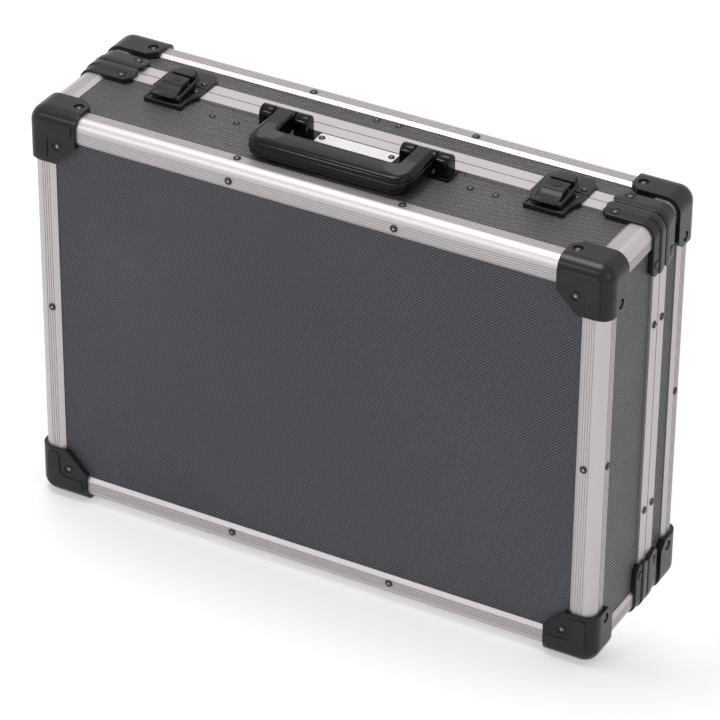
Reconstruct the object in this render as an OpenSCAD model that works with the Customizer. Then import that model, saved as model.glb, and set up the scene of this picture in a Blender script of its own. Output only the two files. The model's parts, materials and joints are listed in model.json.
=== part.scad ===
// Hard tool case: a deep base shell and a shallower lid made of laminated panels in aluminium profiles.
// It stands on its bottom edge: X along its length, base towards -Y, lid towards +Y, Z up from the floor.

/* [Case] */
// Length over the edge profiles
case_l = 460; // [380:10:600]
// Height over the edge profiles
case_h = 325; // [280:5:420]
// Depth of the base shell, from its face to the seam
base_d = 86; // [78:1:140]
// Depth of the lid, from the seam to its face
lid_d = 49; // [46:1:90]
// Gap between the two shells at the seam
seam_gap = 0.8; // [0.4:0.1:1.4]

/* [Panels and profiles] */
// Thickness of a laminated panel
panel_t = 4; // [3:0.5:6]
// Width of each leg of an edge profile
leg_w = 19; // [16:0.5:26]
// Skin of an edge profile over the panels
skin_t = 2.5; // [2:0.1:3.5]
// Outer radius of an edge profile
edge_r = 9; // [6:0.5:10]
// Width of the bevel along a leg's inner edge
bevel_w = 3.2; // [1.5:0.1:4]
// How far the solid corner of an edge profile stands inside its lips
web_more = 1; // [0.5:0.5:2]
// Thickness of a lip behind a panel
lip_t = 1.5; // [1:0.1:2.5]
// Reach of a lip behind a panel, from the case's outer face
lip_reach = 16; // [12:0.5:20]
// Number of fine grooves on a leg
groove_count = 4; // [2:1:5]
// Distance between grooves
groove_pitch = 1.9; // [1.2:0.1:2.5]
// Width of a groove
groove_w = 0.7; // [0.4:0.1:1]
// Depth of a groove
groove_deep = 0.35; // [0.2:0.05:0.6]

/* [Seam frames] */
// Width of the visible strip on each side of the seam
strip_w = 10.5; // [9:0.5:14]
// How far a strip lies under the outer faces of the profiles
strip_drop = 0.5; // [0.2:0.1:1]
// Thickness of the frame across a panel's edge
cap_t = 4.5; // [4:0.5:6]
// Height of the tongue on the base's frame
tongue_h = 2.6; // [1.5:0.1:3]
// Thickness of the tongue
tongue_t = 1.2; // [1:0.1:1.6]
// Clearance around the tongue in the lid's groove
tongue_gap = 0.5; // [0.4:0.1:0.8]

/* [Corner guards and straps] */
// Thickness of the black guards, which the case stands on
guard_t = 3; // [2.6:0.1:4.5]
// Reach of a guard along the long and high edges
guard_reach = 38; // [34:1:46]
// Reach of a guard along the depth
guard_depth = 27; // [24:0.5:27.5]
// Chamfer of a guard's large flap
guard_cut = 16; // [10:1:18]
// Chamfer of a guard's two narrow flaps
guard_side_cut = 7; // [4:1:9]
// Width of the raised band round a guard's outer edges
guard_band = 10; // [9.5:0.5:12]
// Step from the raised band to the flap
guard_step = 0.9; // [0.5:0.1:1.4]
// Reach of a seam strap along both legs
strap_reach = 40; // [34:1:46]
// Width of a seam strap
strap_w = 17; // [14:0.5:18.5]
// Width of the raised rib along a strap's seam edge
strap_rib_w = 6; // [4:0.5:8]
// Thickness of a seam strap beside its rib, which is as thick as a guard
strap_t = 2.2; // [1.8:0.1:2.6]
// Room under the case for the lid's straps as the lid swings
strap_relief = 3.6; // [3.4:0.1:5]

/* [Rivets] */
// Radius of a rivet's head
rivet_r = 2.9; // [2.2:0.1:3.4]
// Height of a rivet's head
rivet_h = 1.3; // [0.8:0.1:1.4]
// Depth of the dimple round a rivet in a guard or strap
dimple_deep = 0.6; // [0.5:0.1:0.9]
// Radius of a rivet's shank
shank_r = 1.5; // [1.2:0.1:1.8]
// Radial clearance of a shank in its hole
shank_gap = 0.1; // [0.05:0.05:0.2]
// Height of the upset end inside the case
upset_h = 1; // [0.6:0.1:1.4]
// Distance of a profile rivet from the outer face
rivet_inset = 12.4; // [12:0.2:14]
// Distance of the long profiles' rivets from the middle of the case
rivet_off = 66; // [50:1:100]
// Distance of the side strips' rivets from the top and bottom
strip_rivet_off = 84; // [60:2:110]
// Radius of a small panel rivet's head
small_rivet_r = 2.3; // [1.8:0.1:2.6]

/* [Handle] */
// Length of the grip over its rounded ends
grip_l = 130; // [120:1:150]
// Reach of the grip in front of its pivot
grip_reach = 49.5; // [44:0.5:56]
// Width of the bar that the hand holds
grip_bar = 21.5; // [16:0.5:24]
// Thickness of the grip
grip_t = 15.5; // [12:0.5:18]
// Width of each arm at its pivot
arm_w = 16.4; // [12:0.2:20]
// Distance of each arm's middle from the middle of the case
arm_x = 56.6; // [52:0.2:60]
// Outer radius of the grip's corners
grip_r = 24; // [16:1:28]
// Radius of the ears and of the arms' ends
ear_r = 6.2; // [5:0.1:7]
// Thickness of an ear
ear_t = 10.4; // [6:0.2:12]
// Gap between an arm and the ears beside it
ear_gap = 0.7; // [0.3:0.1:1.2]
// Radius of the handle's pins
handle_pin_r = 2.5; // [2:0.1:3]
// Running clearance of the handle's pins
pin_gap = 0.06; // [0.02:0.01:0.1]
// Distance from the seam to the pivot
pivot_back = 20; // [18:0.5:24]
// Thickness of the mounting plate
mount_t = 2; // [1.5:0.1:3]
// Width of the mounting plate
mount_w = 16.2; // [14:0.2:16.4]
// Length of the bare label plate
label_l = 63; // [40:1:66]
// Width of the label plate
label_w = 12.4; // [8:0.2:14]
// Thickness of the label plate
label_t = 0.7; // [0.4:0.1:1]

/* [Latches] */
// Distance of each latch from the case's end
latch_end = 77; // [60:1:110]
// Width of a latch plate at its far edge
latch_far_w = 32; // [28:1:40]
// Width of a latch plate at the seam
latch_near_w = 39; // [36:1:46]
// Reach of the latch plate from the seam over the base
latch_reach = 31.6; // [29:0.2:36]
// Reach of the keeper plate from the seam over the lid
keeper_reach = 22; // [20:0.5:24]
// Thickness of both plates over the strips
latch_plate_t = 1.5; // [1:0.1:2.5]
// Width of the lever
lever_w = 16.8; // [15:0.2:18]
// Thickness of the lever's sheet
lever_t = 1.4; // [1:0.1:1.8]
// Height of the lever's flat top over the plate
lever_h = 9; // [8:0.1:11]
// Distance of the lever's pivot from the seam
lever_pivot_back = 8; // [7.8:0.1:8.6]
// Distance from the lever's pivot to the bail's pins
crank = 18; // [17:0.5:18.5]
// Radius of the latch pins
latch_pin_r = 1.4; // [1.1:0.1:1.5]
// Radius of the bail's wire
bail_r = 1.4; // [1.1:0.1:1.6]
// Gap between the bail and the keeper's boss
bail_gap = 0.6; // [0.5:0.05:0.9]
// Half width of the keeper's rounded boss
boss_r = 8.5; // [7.5:0.1:9]
// How far the boss reaches over the seam
boss_over = 2.2; // [1.8:0.1:2.4]
// Radius of the lock barrel
lock_r = 3.1; // [2.5:0.1:3.3]

/* [Hinges] */
// Distance of each hinge from the case's end
hinge_end = 110; // [90:1:140]
// Length of a hinge
hinge_l = 60; // [40:1:90]
// Radius of a hinge's knuckle
knuckle_r = 2.2; // [1.8:0.1:2.3]
// Radius of a hinge's pin
hinge_pin_r = 1.1; // [0.8:0.1:1.3]
// Thickness of a hinge's leaf
leaf_t = 1; // [0.8:0.1:1.2]

/* [Lid stays] */
// Height of a stay's base pivot over the hinge
stay_base_up = 60; // [50:1:80]
// Distance of that pivot in front of the hinge
stay_base_in = 40; // [36:1:44]
// Height of a stay's lid pivot over the hinge
stay_lid_up = 90; // [80:1:110]
// Distance of that pivot behind the hinge
stay_lid_in = 22; // [20:1:24]
// Width of a stay's links
link_w = 12; // [10:0.5:14]
// Thickness of a stay's links
link_t = 2; // [1.5:0.1:3]
// Radius of a stay's studs
stud_r = 2.5; // [2:0.1:3]
// Gap between the flat faces of a stay
link_gap = 0.5; // [0.3:0.1:0.8]
// Thickness of a stay's mounting plate
stay_plate_t = 3; // [2.6:0.1:4]

/* [Linings] */
// Thickness of the base's foam
base_foam_t = 8; // [4:1:20]
// Thickness of the lid's foam
lid_foam_t = 12; // [4:1:16]
// Gap between the foam and the walls round it
foam_gap = 1; // [0.5:0.5:3]

/* [Hidden] */
$fn = 64;
eps = 0.01;
y_front = -(base_d + lid_d) / 2;
y_rear = -y_front;
y_seam = y_front + base_d;
y_base = y_seam - seam_gap / 2;
y_lid = y_seam + seam_gap / 2;
z_bot = guard_t;
z_top = z_bot + case_h;
z_mid = z_bot + case_h / 2;
x_side = case_l / 2;
latch_x = x_side - latch_end;
hinge_x = x_side - hinge_end;
panel_in = skin_t + panel_t;
web_w = panel_in + lip_t + web_more;
z_panel = z_top - skin_t;
z_strip = z_top - strip_drop;
hinge_z = 0.3 + knuckle_r;
hinge_clear = knuckle_r + 0.3;
guard_seat = guard_t - guard_step - dimple_deep;
strap_seat = strap_t - dimple_deep;
guard_grip = guard_seat + panel_in;
strap_grip = strap_seat + panel_in;
strip_grip = panel_in - strip_drop;

// Handle
pivot_y = y_seam - pivot_back;
mount_z = z_panel + mount_t;
grip_bot = z_top + 0.5;
grip_top = grip_bot + grip_t;
pivot_z = grip_bot + grip_t - ear_r - 0.4;
ear_in = arm_x - arm_w / 2 - ear_gap - ear_t / 2;
ear_out = arm_x + arm_w / 2 + ear_gap + ear_t / 2;
mount_l = 2 * (ear_out + ear_t / 2) + 3;
mount_y = pivot_y + 0.8;
label_rivet_x = label_l / 2 - 3.5;

// Latches
plate_top = z_strip + latch_plate_t;
latch_grip = plate_top - z_top + panel_in;
lever_top = plate_top + lever_h;
lever_y = y_seam - lever_pivot_back;
lock_y = lever_y - 1.6;
cheek_r = latch_pin_r + 1;
cheek_neck = cheek_r - 0.4;
heel_gap = 3.3;
lever_z = lever_top - lever_t - cheek_r - 0.5;
boss_front = y_seam - boss_over;
boss_mid = boss_front + 1.6;
bail_y = lever_y - crank;
bail_z = lever_top - 6.4;
bail_turn_r = boss_r + bail_gap + bail_r;
bail_far_z = lever_top - 2.6;
bail_run = boss_mid - bail_y;
bail_tilt = atan((bail_far_z - bail_z) / (bail_run + bail_turn_r));
lever_in = lever_w / 2 - 1.2;
cheek_out = lever_in - 0.3;
cheek_in = cheek_out - 1.4;
lever_end = boss_front - heel_gap;
tab_end = y_seam - latch_reach + 0.4;
fold_y = y_seam - 15.8;

// Stays
stay_wall = x_side - panel_in;
base_link_x = stay_wall - stay_plate_t - link_gap - link_t;
lid_link_x = base_link_x - link_gap - link_t;
stay_a = [y_seam - stay_base_in, hinge_z + stay_base_up];
stay_b = [y_seam + stay_lid_in, hinge_z + stay_lid_up];
stay_c = [stay_a[0] + stay_lid_in, stay_a[1] + stay_lid_up];

guard_rivet = 23;
guard_rivet_long = 31;
guard_rivet_deep = 16;
strap_rivet_reach = 31;
panel_rivet_near = 39;
panel_rivet_pitch = 20;
panel_rivet_in = 26;
panel_rivet_inner = latch_x - panel_rivet_near - panel_rivet_pitch;
panel_rivet_x = [panel_rivet_inner, panel_rivet_inner + panel_rivet_pitch];
panel_rivet_y = y_seam - panel_rivet_in;
lid_rivet_x = [9];
lid_rivet_in = 27;
lid_rivet_y = y_seam + lid_rivet_in;
latch_rivet_x = 13.5;

alu = "#c4bcc0";
laminate = "#4b494d";
black = "#262628";
steel = "#8c8c90";
gunmetal = "#3c3c40";
foam = "#5a5a5c";

// Copies in mirrored places
module both_x() {
  children();
  mirror([1, 0, 0]) children();
}
module both_z() {
  children();
  translate([0, 0, 2 * z_mid]) mirror([0, 0, 1]) children();
}
// Turns something made for the base's outer face to the lid's
module to_rear() {
  mirror([0, 1, 0]) children();
}
// Turns something made for the top edge to the bottom edge
module to_bottom() {
  translate([0, 0, 2 * z_mid]) mirror([0, 0, 1]) children();
}

// Outlines drawn in YZ, XZ and XY, run along the third axis
module run_x(l) {
  rotate([90, 0, 90]) translate([0, 0, -l / 2]) linear_extrude(l) children();
}
module run_y(y0, y1) {
  translate([0, y1, 0]) rotate([90, 0, 0]) linear_extrude(y1 - y0) children();
}
module run_z(z0, z1) {
  translate([0, 0, z0]) linear_extrude(z1 - z0) children();
}
module box(x0, x1, y0, y1, z0, z1) {
  translate([x0, y0, z0]) cube([x1 - x0, y1 - y0, z1 - z0]);
}

// Section of an edge profile: outer corner at the origin, legs along both axes
function half_section() = [
  [0, 0], [leg_w - bevel_w, 0], [leg_w, skin_t - bevel_deep], [leg_w, skin_t], [web_w, skin_t], [web_w, panel_in],
  [lip_reach, panel_in], [lip_reach, panel_in + lip_t], [web_w, panel_in + lip_t]
];
function groove_points(i) = let (a = leg_w - bevel_w - 1 - groove_w - i * groove_pitch)
  [[a, -eps], [a + groove_w, -eps], [a + groove_w, groove_deep], [a, groove_deep]];
function swap(list) = [for (p = list) [p[1], p[0]]];
function turned(list) = [for (i = [len(list) - 1 : -1 : 1]) list[i]];
bevel_deep = 0.6;
module edge_section() {
  difference() {
    polygon(concat(half_section(), [[web_w, web_w]], turned(swap(half_section()))));
    difference() {
      translate([-1, -1]) square(edge_r + 1);
      translate([edge_r, edge_r]) circle(edge_r);
    }
    for (i = [0 : groove_count - 1]) {
      polygon(groove_points(i));
      polygon(swap(groove_points(i)));
    }
  }
}

// Section of a seam frame: first axis in from the outer face, second axis away from the seam
module frame_section() {
  translate([strip_drop, 0]) square([skin_t - strip_drop, strip_w]);
  square_from(skin_t, panel_in, 0, cap_t);
  square_from(panel_in, panel_in + lip_t, 0, strip_w - 1.5);
}
module square_from(a0, a1, b0, b1) {
  translate([a0, b0]) square([a1 - a0, b1 - b0]);
}
tongue_in = skin_t + (panel_t - tongue_t) / 2;
module base_frame_section(tongue) {
  frame_section();
  if (tongue)
    translate([tongue_in, -tongue_h]) square([tongue_t, tongue_h + eps]);
}
module lid_frame_section(groove) {
  difference() {
    frame_section();
    if (groove)
      translate([tongue_in - tongue_gap, -eps])
        square([tongue_t + 2 * tongue_gap, tongue_h + tongue_gap - seam_gap + eps]);
  }
}

// Rivets: origin on the surface, head along +Z, grip is what the shank goes through
module rivet(grip, r = rivet_r) {
  dome_r = (r * r + rivet_h * rivet_h) / (2 * rivet_h);
  rotate_extrude()
    intersection() {
      translate([0, rivet_h - dome_r]) circle(dome_r);
      square([r, rivet_h]);
    }
  translate([0, 0, -grip - upset_h / 2]) cylinder(h = grip + upset_h / 2 + eps, r = shank_r);
  translate([0, 0, -grip - upset_h]) cylinder(h = upset_h, r = upset_r);
}
upset_r = shank_r + 1;
pocket_h = 4;
// Its hole, with room for the upset end where a lip lies behind the panel
module rivet_hole(grip) {
  translate([0, 0, -grip - 1]) cylinder(h = grip + 2, r = shank_r + shank_gap);
  translate([0, 0, -grip - pocket_h]) cylinder(h = pocket_h, r = upset_r + shank_gap);
}
// A rivet, or its hole, on each outer face
module face_pin(at, dir) {
  translate(at) {
    if (dir == "front") rotate([90, 0, 0]) children();
    if (dir == "rear") rotate([-90, 0, 0]) children();
    if (dir == "top") children();
    if (dir == "bottom") rotate([180, 0, 0]) children();
    if (dir == "right") rotate([0, 90, 0]) children();
    if (dir == "left") rotate([0, -90, 0]) children();
  }
}

// Profile rivets of the base: place, face
function long_rivets(dir_y, y_face, y_leg) = [
  for (s = [-1, 1]) [[s * rivet_off, y_face, z_top - rivet_inset], dir_y],
  for (s = [-1, 1]) [[s * rivet_off, y_face, z_bot + rivet_inset], dir_y],
  [[-x_side + rivet_inset, y_face, z_mid], dir_y],
  [[x_side - rivet_inset, y_face, z_mid], dir_y],
  for (s = [-1, 1]) [[s * rivet_off, y_leg, z_top], "top"],
  for (s = [-1, 1]) [[s * rivet_off, y_leg, z_bot], "bottom"],
  [[-x_side, y_leg, z_mid], "left"],
  [[x_side, y_leg, z_mid], "right"]
];
base_profile_pins = long_rivets("front", y_front, y_front + rivet_inset);
lid_profile_pins = long_rivets("rear", y_rear, y_rear - rivet_inset);
function strip_pins(y) = [
  for (z = [z_bot + strip_rivet_off, z_top - strip_rivet_off], s = [-1, 1])
    [[s * (x_side - strip_drop), y, z], s < 0 ? "left" : "right"]
];
base_strip_pins = strip_pins(y_base - strip_w * 0.45);
lid_strip_pins = strip_pins(y_lid + strip_w * 0.65);
module pins(list, grip, r = rivet_r) {
  for (p = list) face_pin(p[0], p[1]) rivet(grip, r);
}
module pin_holes(list, grip) {
  for (p = list) face_pin(p[0], p[1]) rivet_hole(grip);
}

// Guard rivets, for the corner at +X, the given face and the top
function guard_pins(y_face, s, dir_y) = [
  [[x_side - guard_rivet, y_face - s * guard_seat, z_top - guard_rivet], dir_y],
  [[x_side - guard_rivet_long, y_face + s * guard_rivet_deep, z_top + guard_seat], "top"],
  [[x_side + guard_seat, y_face + s * guard_rivet_deep, z_top - guard_rivet_long], "right"]
];
// Strap rivets, for the same corner, v away from the seam
function strap_pins(y) = [
  [[x_side - strap_rivet_reach, y, z_top + strap_seat], "top"],
  [[x_side + strap_seat, y, z_top - strap_rivet_reach], "right"]
];
base_guard_pins = guard_pins(y_front, 1, "front");
lid_guard_pins = guard_pins(y_rear, -1, "rear");
base_strap_pins = strap_pins(y_base - strap_w * 0.68);
lid_strap_pins = strap_pins(y_lid + strap_w * 0.68);
module dimples(list) {
  for (p = list) face_pin(p[0], p[1]) cylinder(h = 5, r = rivet_r + 1);
}
module corner_holes(guard_list, strap_list) {
  both_x() both_z() {
    pin_holes(guard_list, guard_grip);
    pin_holes(strap_list, strap_grip);
  }
}

// Panel rivets of the top walls
base_panel_pins = [for (x = panel_rivet_x, s = [-1, 1]) [[s * x, panel_rivet_y, z_panel], "top"]];
lid_panel_pins = [for (x = lid_rivet_x, s = [-1, 1]) [[s * x, lid_rivet_y, z_panel], "top"]];
mount_pins = [for (s = [-1, 1]) [[s * arm_x, mount_y, mount_z], "top"]];
label_pins = [for (s = [-1, 1]) [[s * label_rivet_x, mount_y, mount_z + label_t], "top"]];
function latch_pins_at(y, z) = [for (s = [-1, 1], t = [-1, 1]) [[s * latch_x + t * latch_rivet_x, y, z], "top"]];
latch_pins = latch_pins_at(y_seam - 5.5, plate_top);
keeper_pins = latch_pins_at(y_seam + 6, plate_top);
module small_pin_holes(list) {
  pin_holes(list, panel_in + mount_t + latch_plate_t);
}

// Panels of the base
module base_front_panel() {
  color(laminate) difference() {
    box(-x_side + web_w, x_side - web_w, y_front + skin_t, y_front + panel_in, z_bot + web_w, z_top - web_w);
    pin_holes(base_profile_pins, panel_in);
    corner_holes(base_guard_pins, base_strap_pins);
  }
}
base_wall_y0 = y_front + web_w;
base_wall_y1 = y_base - cap_t;
lid_wall_y0 = y_lid + cap_t;
lid_wall_y1 = y_rear - web_w;
module top_wall(y0, y1) {
  box(-x_side + web_w, x_side - web_w, y0, y1, z_top - panel_in, z_panel);
}
module right_wall(y0, y1) {
  box(x_side - panel_in, x_side - skin_t, y0, y1, z_bot + web_w, z_top - web_w);
}
module base_top_panel() {
  color(laminate) difference() {
    top_wall(base_wall_y0, base_wall_y1);
    pin_holes(base_profile_pins, panel_in);
    corner_holes(base_guard_pins, base_strap_pins);
    small_pin_holes(concat(base_panel_pins, mount_pins, label_pins));
    pin_holes(latch_pins, latch_grip);
  }
}
module base_bottom_panel() {
  color(laminate) difference() {
    to_bottom() top_wall(base_wall_y0, base_wall_y1);
    hinge_holes(-1);
    pin_holes(base_profile_pins, panel_in);
    corner_holes(base_guard_pins, base_strap_pins);
  }
}
module base_right_panel() {
  color(laminate) difference() {
    right_wall(base_wall_y0, base_wall_y1);
    pin_holes(base_profile_pins, panel_in);
    pin_holes(base_strip_pins, strip_grip);
    corner_holes(base_guard_pins, base_strap_pins);
  }
}
module base_left_panel() {
  mirror([1, 0, 0]) base_right_panel();
}

// Edge profiles of the base; the four round the front face first
module top_profile() {
  run_x(case_l - 2 * leg_w) translate([y_front, z_top]) mirror([0, 1]) edge_section();
}
module right_profile() {
  run_z(z_bot + leg_w, z_top - leg_w) translate([x_side, y_front]) mirror([1, 0]) edge_section();
}
module front_top_profile() {
  color(alu) difference() {
    top_profile();
    pin_holes(base_profile_pins, panel_in);
    corner_holes(base_guard_pins, base_strap_pins);
  }
}
module front_bottom_profile() {
  to_bottom() front_top_profile();
}
module front_right_profile() {
  color(alu) difference() {
    right_profile();
    pin_holes(base_profile_pins, panel_in);
    corner_holes(base_guard_pins, base_strap_pins);
  }
}
module front_left_profile() {
  mirror([1, 0, 0]) front_right_profile();
}
// The edge that runs along the depth, at the right and the top
module depth_profile(y0, y1) {
  run_y(y0, y1) translate([x_side, z_top]) mirror([1, 0]) mirror([0, 1]) edge_section();
}
module base_depth_profiles() {
  color(alu) both_x() both_z() difference() {
    depth_profile(y_front + leg_w, y_base);
    pin_holes(base_guard_pins, guard_grip);
    pin_holes(base_strap_pins, strap_grip);
  }
}

// Seam frames: strips along the top and the right side, at the base's edge
module frame_top(y) {
  run_x(case_l - 2 * leg_w) translate([y, z_top]) mirror([1, 0]) mirror([0, 1]) mirror([1, -1]) children();
}
module frame_right(y) {
  run_z(z_bot + leg_w, z_top - leg_w) translate([x_side, y]) mirror([1, 0]) mirror([0, 1]) children();
}
module hinge_notches() {
  both_x() translate([hinge_x, y_seam, hinge_z]) rotate([0, 90, 0])
    cylinder(h = hinge_l + 1, r = hinge_clear, center = true);
}
module base_seam_frame() {
  color(alu) difference() {
    union() {
      frame_top(y_base) base_frame_section(true);
      to_bottom() frame_top(y_base) base_frame_section(false);
      both_x() frame_right(y_base) base_frame_section(true);
    }
    hinge_notches();
    pin_holes(base_strip_pins, strip_grip);
    both_x() both_z() pin_holes(base_strap_pins, strap_grip);
    pin_holes(latch_pins, latch_grip);
    hinge_holes(-1);
  }
}
module lid_seam_frame() {
  color(alu) difference() {
    union() {
      to_lid() frame_top(y_base) lid_frame_section(true);
      to_lid() to_bottom() frame_top(y_base) lid_frame_section(false);
      to_lid() both_x() frame_right(y_base) lid_frame_section(true);
    }
    hinge_notches();
    pin_holes(lid_strip_pins, strip_grip);
    both_x() both_z() pin_holes(lid_strap_pins, strap_grip);
    pin_holes(keeper_pins, latch_grip);
    hinge_holes(1);
  }
}
// Mirrors something at the base's side of the seam to the lid's side
module to_lid() {
  translate([0, 2 * y_seam, 0]) mirror([0, 1, 0]) children();
}

// Guard at the corner +X, front, top, built outside the profiles' rounded faces
module ring_corner(t) {
  intersection() {
    translate([edge_r, edge_r]) difference() {
      circle(edge_r + t);
      circle(edge_r);
    }
    translate([-t, -t]) square(edge_r + t);
  }
}
// Corner frame: origin at the case's outer corner, axes pointing into the case
module guard_shell() {
  flap = guard_reach;
  // Round corner, then the three round edges, then the three flat flaps
  translate([edge_r, edge_r, edge_r]) mirror([1, 0, 0]) mirror([0, 1, 0]) mirror([0, 0, 1])
    rotate_extrude(angle = 90) intersection() {
      difference() {
        circle(edge_r + guard_t);
        circle(edge_r);
      }
      square(edge_r + guard_t);
    }
  translate([edge_r, 0, 0]) rotate([90, 0, 90]) linear_extrude(flap - edge_r) ring_corner(guard_t);
  translate([0, guard_depth, 0]) rotate([90, 0, 0]) linear_extrude(guard_depth - edge_r) ring_corner(guard_t);
  translate([0, 0, edge_r]) linear_extrude(flap - edge_r) ring_corner(guard_t);
  box(edge_r, flap, -guard_t, 0, edge_r, flap);
  box(edge_r, flap, edge_r, guard_depth, -guard_t, 0);
  box(-guard_t, 0, edge_r, guard_depth, edge_r, flap);
  // Pads that carry the flaps on the panels beside the profiles
  box(leg_w + 0.2, flap, -eps, skin_t, leg_w + 0.2, flap);
  box(leg_w + 0.2, flap, leg_w + 0.2, guard_depth, -eps, skin_t);
  box(-eps, skin_t, leg_w + 0.2, guard_depth, leg_w + 0.2, flap);
}
module corner_cut(a, b, c) {
  polygon([[a - c, b + 1], [a + 1, b + 1], [a + 1, b - c]]);
}
// The lower step of a flap, with a round inner corner
module step_area(a) {
  round = 6;
  difference() {
    translate([guard_band, guard_band]) square(a);
    difference() {
      translate([guard_band - 1, guard_band - 1]) square(round + 1);
      translate([guard_band + round, guard_band + round]) circle(round);
    }
  }
}
module guard_body() {
  flap = guard_reach;
  big = 60;
  difference() {
    guard_shell();
    // Chamfers
    translate([0, big / 2, 0]) rotate([90, 0, 0]) linear_extrude(big) corner_cut(flap, flap, guard_cut);
    translate([0, 0, -guard_t - 1]) linear_extrude(guard_t + skin_t + 2)
      corner_cut(flap, guard_depth, guard_side_cut);
    translate([-guard_t - 1, 0, 0]) rotate([90, 0, 90]) linear_extrude(guard_t + skin_t + 2)
      corner_cut(guard_depth, flap, guard_side_cut);
    // Step on the large flap
    translate([0, -guard_t + guard_step, 0]) rotate([90, 0, 0]) linear_extrude(guard_step + 1)
      step_area(flap);
  }
}
module guard(pin_list) {
  difference() {
    translate([x_side, y_front, z_top]) mirror([1, 0, 0]) mirror([0, 0, 1]) guard_body();
    pin_holes(pin_list, guard_grip);
    dimples(pin_list);
  }
}
module front_corner_guards() {
  color(black) both_x() both_z() guard(base_guard_pins);
}
module rear_corner_guards() {
  color(black) to_rear() both_x() both_z() guard(base_guard_pins);
}

// Seam strap: a bent band round the corner, with a raised rib along the seam
module bent_band(t, reach) {
  translate([-t, edge_r]) square([t, reach - edge_r]);
  translate([edge_r, -t]) square([reach - edge_r, t]);
  ring_corner(t);
}
module strap_ends(reach, w) {
  // Chamfered free ends, drawn along and across the strap
  polygon([[reach - 5, w + 1], [reach + 1, w + 1], [reach + 1, w - 5]]);
  polygon([[reach - 4, -1], [reach + 1, -1], [reach + 1, 4]]);
}
module strap_body() {
  big = 30;
  difference() {
    union() {
      linear_extrude(strap_w) bent_band(strap_t, strap_reach);
      linear_extrude(strap_rib_w) bent_band(guard_t, strap_reach);
      // Pads on the panels beside the strips
      translate([-eps, leg_w + 0.2, strip_w + 0.2])
        cube([skin_t + eps, strap_reach - leg_w - 0.2, strap_w - strip_w - 0.2]);
      translate([leg_w + 0.2, -eps, strip_w + 0.2])
        cube([strap_reach - leg_w - 0.2, skin_t + eps, strap_w - strip_w - 0.2]);
    }
    translate([0, big / 2, 0]) rotate([90, 0, 0]) linear_extrude(big) strap_ends(strap_reach, strap_w);
    translate([-big / 2, 0, 0]) rotate([90, 0, 90]) linear_extrude(big) strap_ends(strap_reach, strap_w);
  }
}
// Corner +X, top: the band's axes point into the case and its third axis away from the seam
module strap(pin_list) {
  difference() {
    translate([x_side, y_base, z_top]) rotate([90, 0, 0]) mirror([1, 0, 0]) mirror([0, 1, 0]) strap_body();
    pin_holes(pin_list, strap_grip);
    dimples(pin_list);
  }
}
module base_seam_straps() {
  color(black) difference() {
    both_x() both_z() strap(base_strap_pins);
    box(-case_l, case_l, y_seam - strap_relief, y_seam, -10, z_bot);
  }
}
module lid_seam_straps() {
  color(black) to_lid() both_x() both_z() strap(base_strap_pins);
}

// Rivets
module base_profile_rivets() {
  color(gunmetal) {
    pins(base_profile_pins, panel_in);
    pins(base_strip_pins, strip_grip);
  }
}
module lid_profile_rivets() {
  color(gunmetal) {
    pins(lid_profile_pins, panel_in);
    pins(lid_strip_pins, strip_grip);
  }
}
module base_guard_rivets() {
  color(gunmetal) both_x() both_z() {
    pins(base_guard_pins, guard_grip);
    pins(base_strap_pins, strap_grip);
  }
}
module lid_guard_rivets() {
  color(gunmetal) both_x() both_z() {
    pins(lid_guard_pins, guard_grip);
    pins(lid_strap_pins, strap_grip);
  }
}
module base_fitting_rivets() {
  color(gunmetal) {
    pins(base_panel_pins, panel_t + backing_t, small_rivet_r);
    pins(mount_pins, mount_t + panel_t + backing_t, rivet_r);
    pins(label_pins, label_t + mount_t + panel_t + backing_t, small_rivet_r);
    pins(latch_pins, latch_grip, small_rivet_r);
  }
}
module lid_fitting_rivets() {
  color(gunmetal) {
    pins(lid_panel_pins, panel_t, small_rivet_r);
    pins(keeper_pins, latch_grip, small_rivet_r);
  }
}
// Steel strips inside the top wall, which the fittings' rivets pull on
backing_t = 1.5;
backing_half = 6;
backing_end = 8;
backing_z = z_top - panel_in - backing_t;
module backing(x0, x1, y, list) {
  difference() {
    box(x0 - backing_end, x1 + backing_end, y - backing_half, y + backing_half, backing_z, z_top - panel_in);
    small_pin_holes(list);
  }
}
module base_backing_plates() {
  color(steel) {
    both_x() backing(panel_rivet_x[0], panel_rivet_x[1], panel_rivet_y, base_panel_pins);
    backing(-arm_x, arm_x, mount_y, concat(mount_pins, label_pins));
  }
}

// Foam linings on the two large panels
module base_foam() {
  color(foam) difference() {
    box(-foam_x, foam_x, y_front + panel_in, y_front + panel_in + base_foam_t, foam_z0, foam_z1);
    foam_pockets(base_foam_t);
  }
}
module lid_foam() {
  color(foam) to_rear() difference() {
    box(-foam_x, foam_x, y_front + panel_in, y_front + panel_in + lid_foam_t, foam_z0, foam_z1);
    foam_pockets(lid_foam_t);
  }
}
// Holes over the ends of the guards' rivets
module foam_pockets(t) {
  both_x() both_z() translate([x_side - guard_rivet, y_front + panel_in - 1, z_top - guard_rivet])
    rotate([-90, 0, 0]) cylinder(h = t + 2, r = upset_r + 0.6);
}
foam_x = x_side - lip_reach - foam_gap;
foam_z0 = z_bot + lip_reach + foam_gap;
foam_z1 = z_top - lip_reach - foam_gap;

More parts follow.
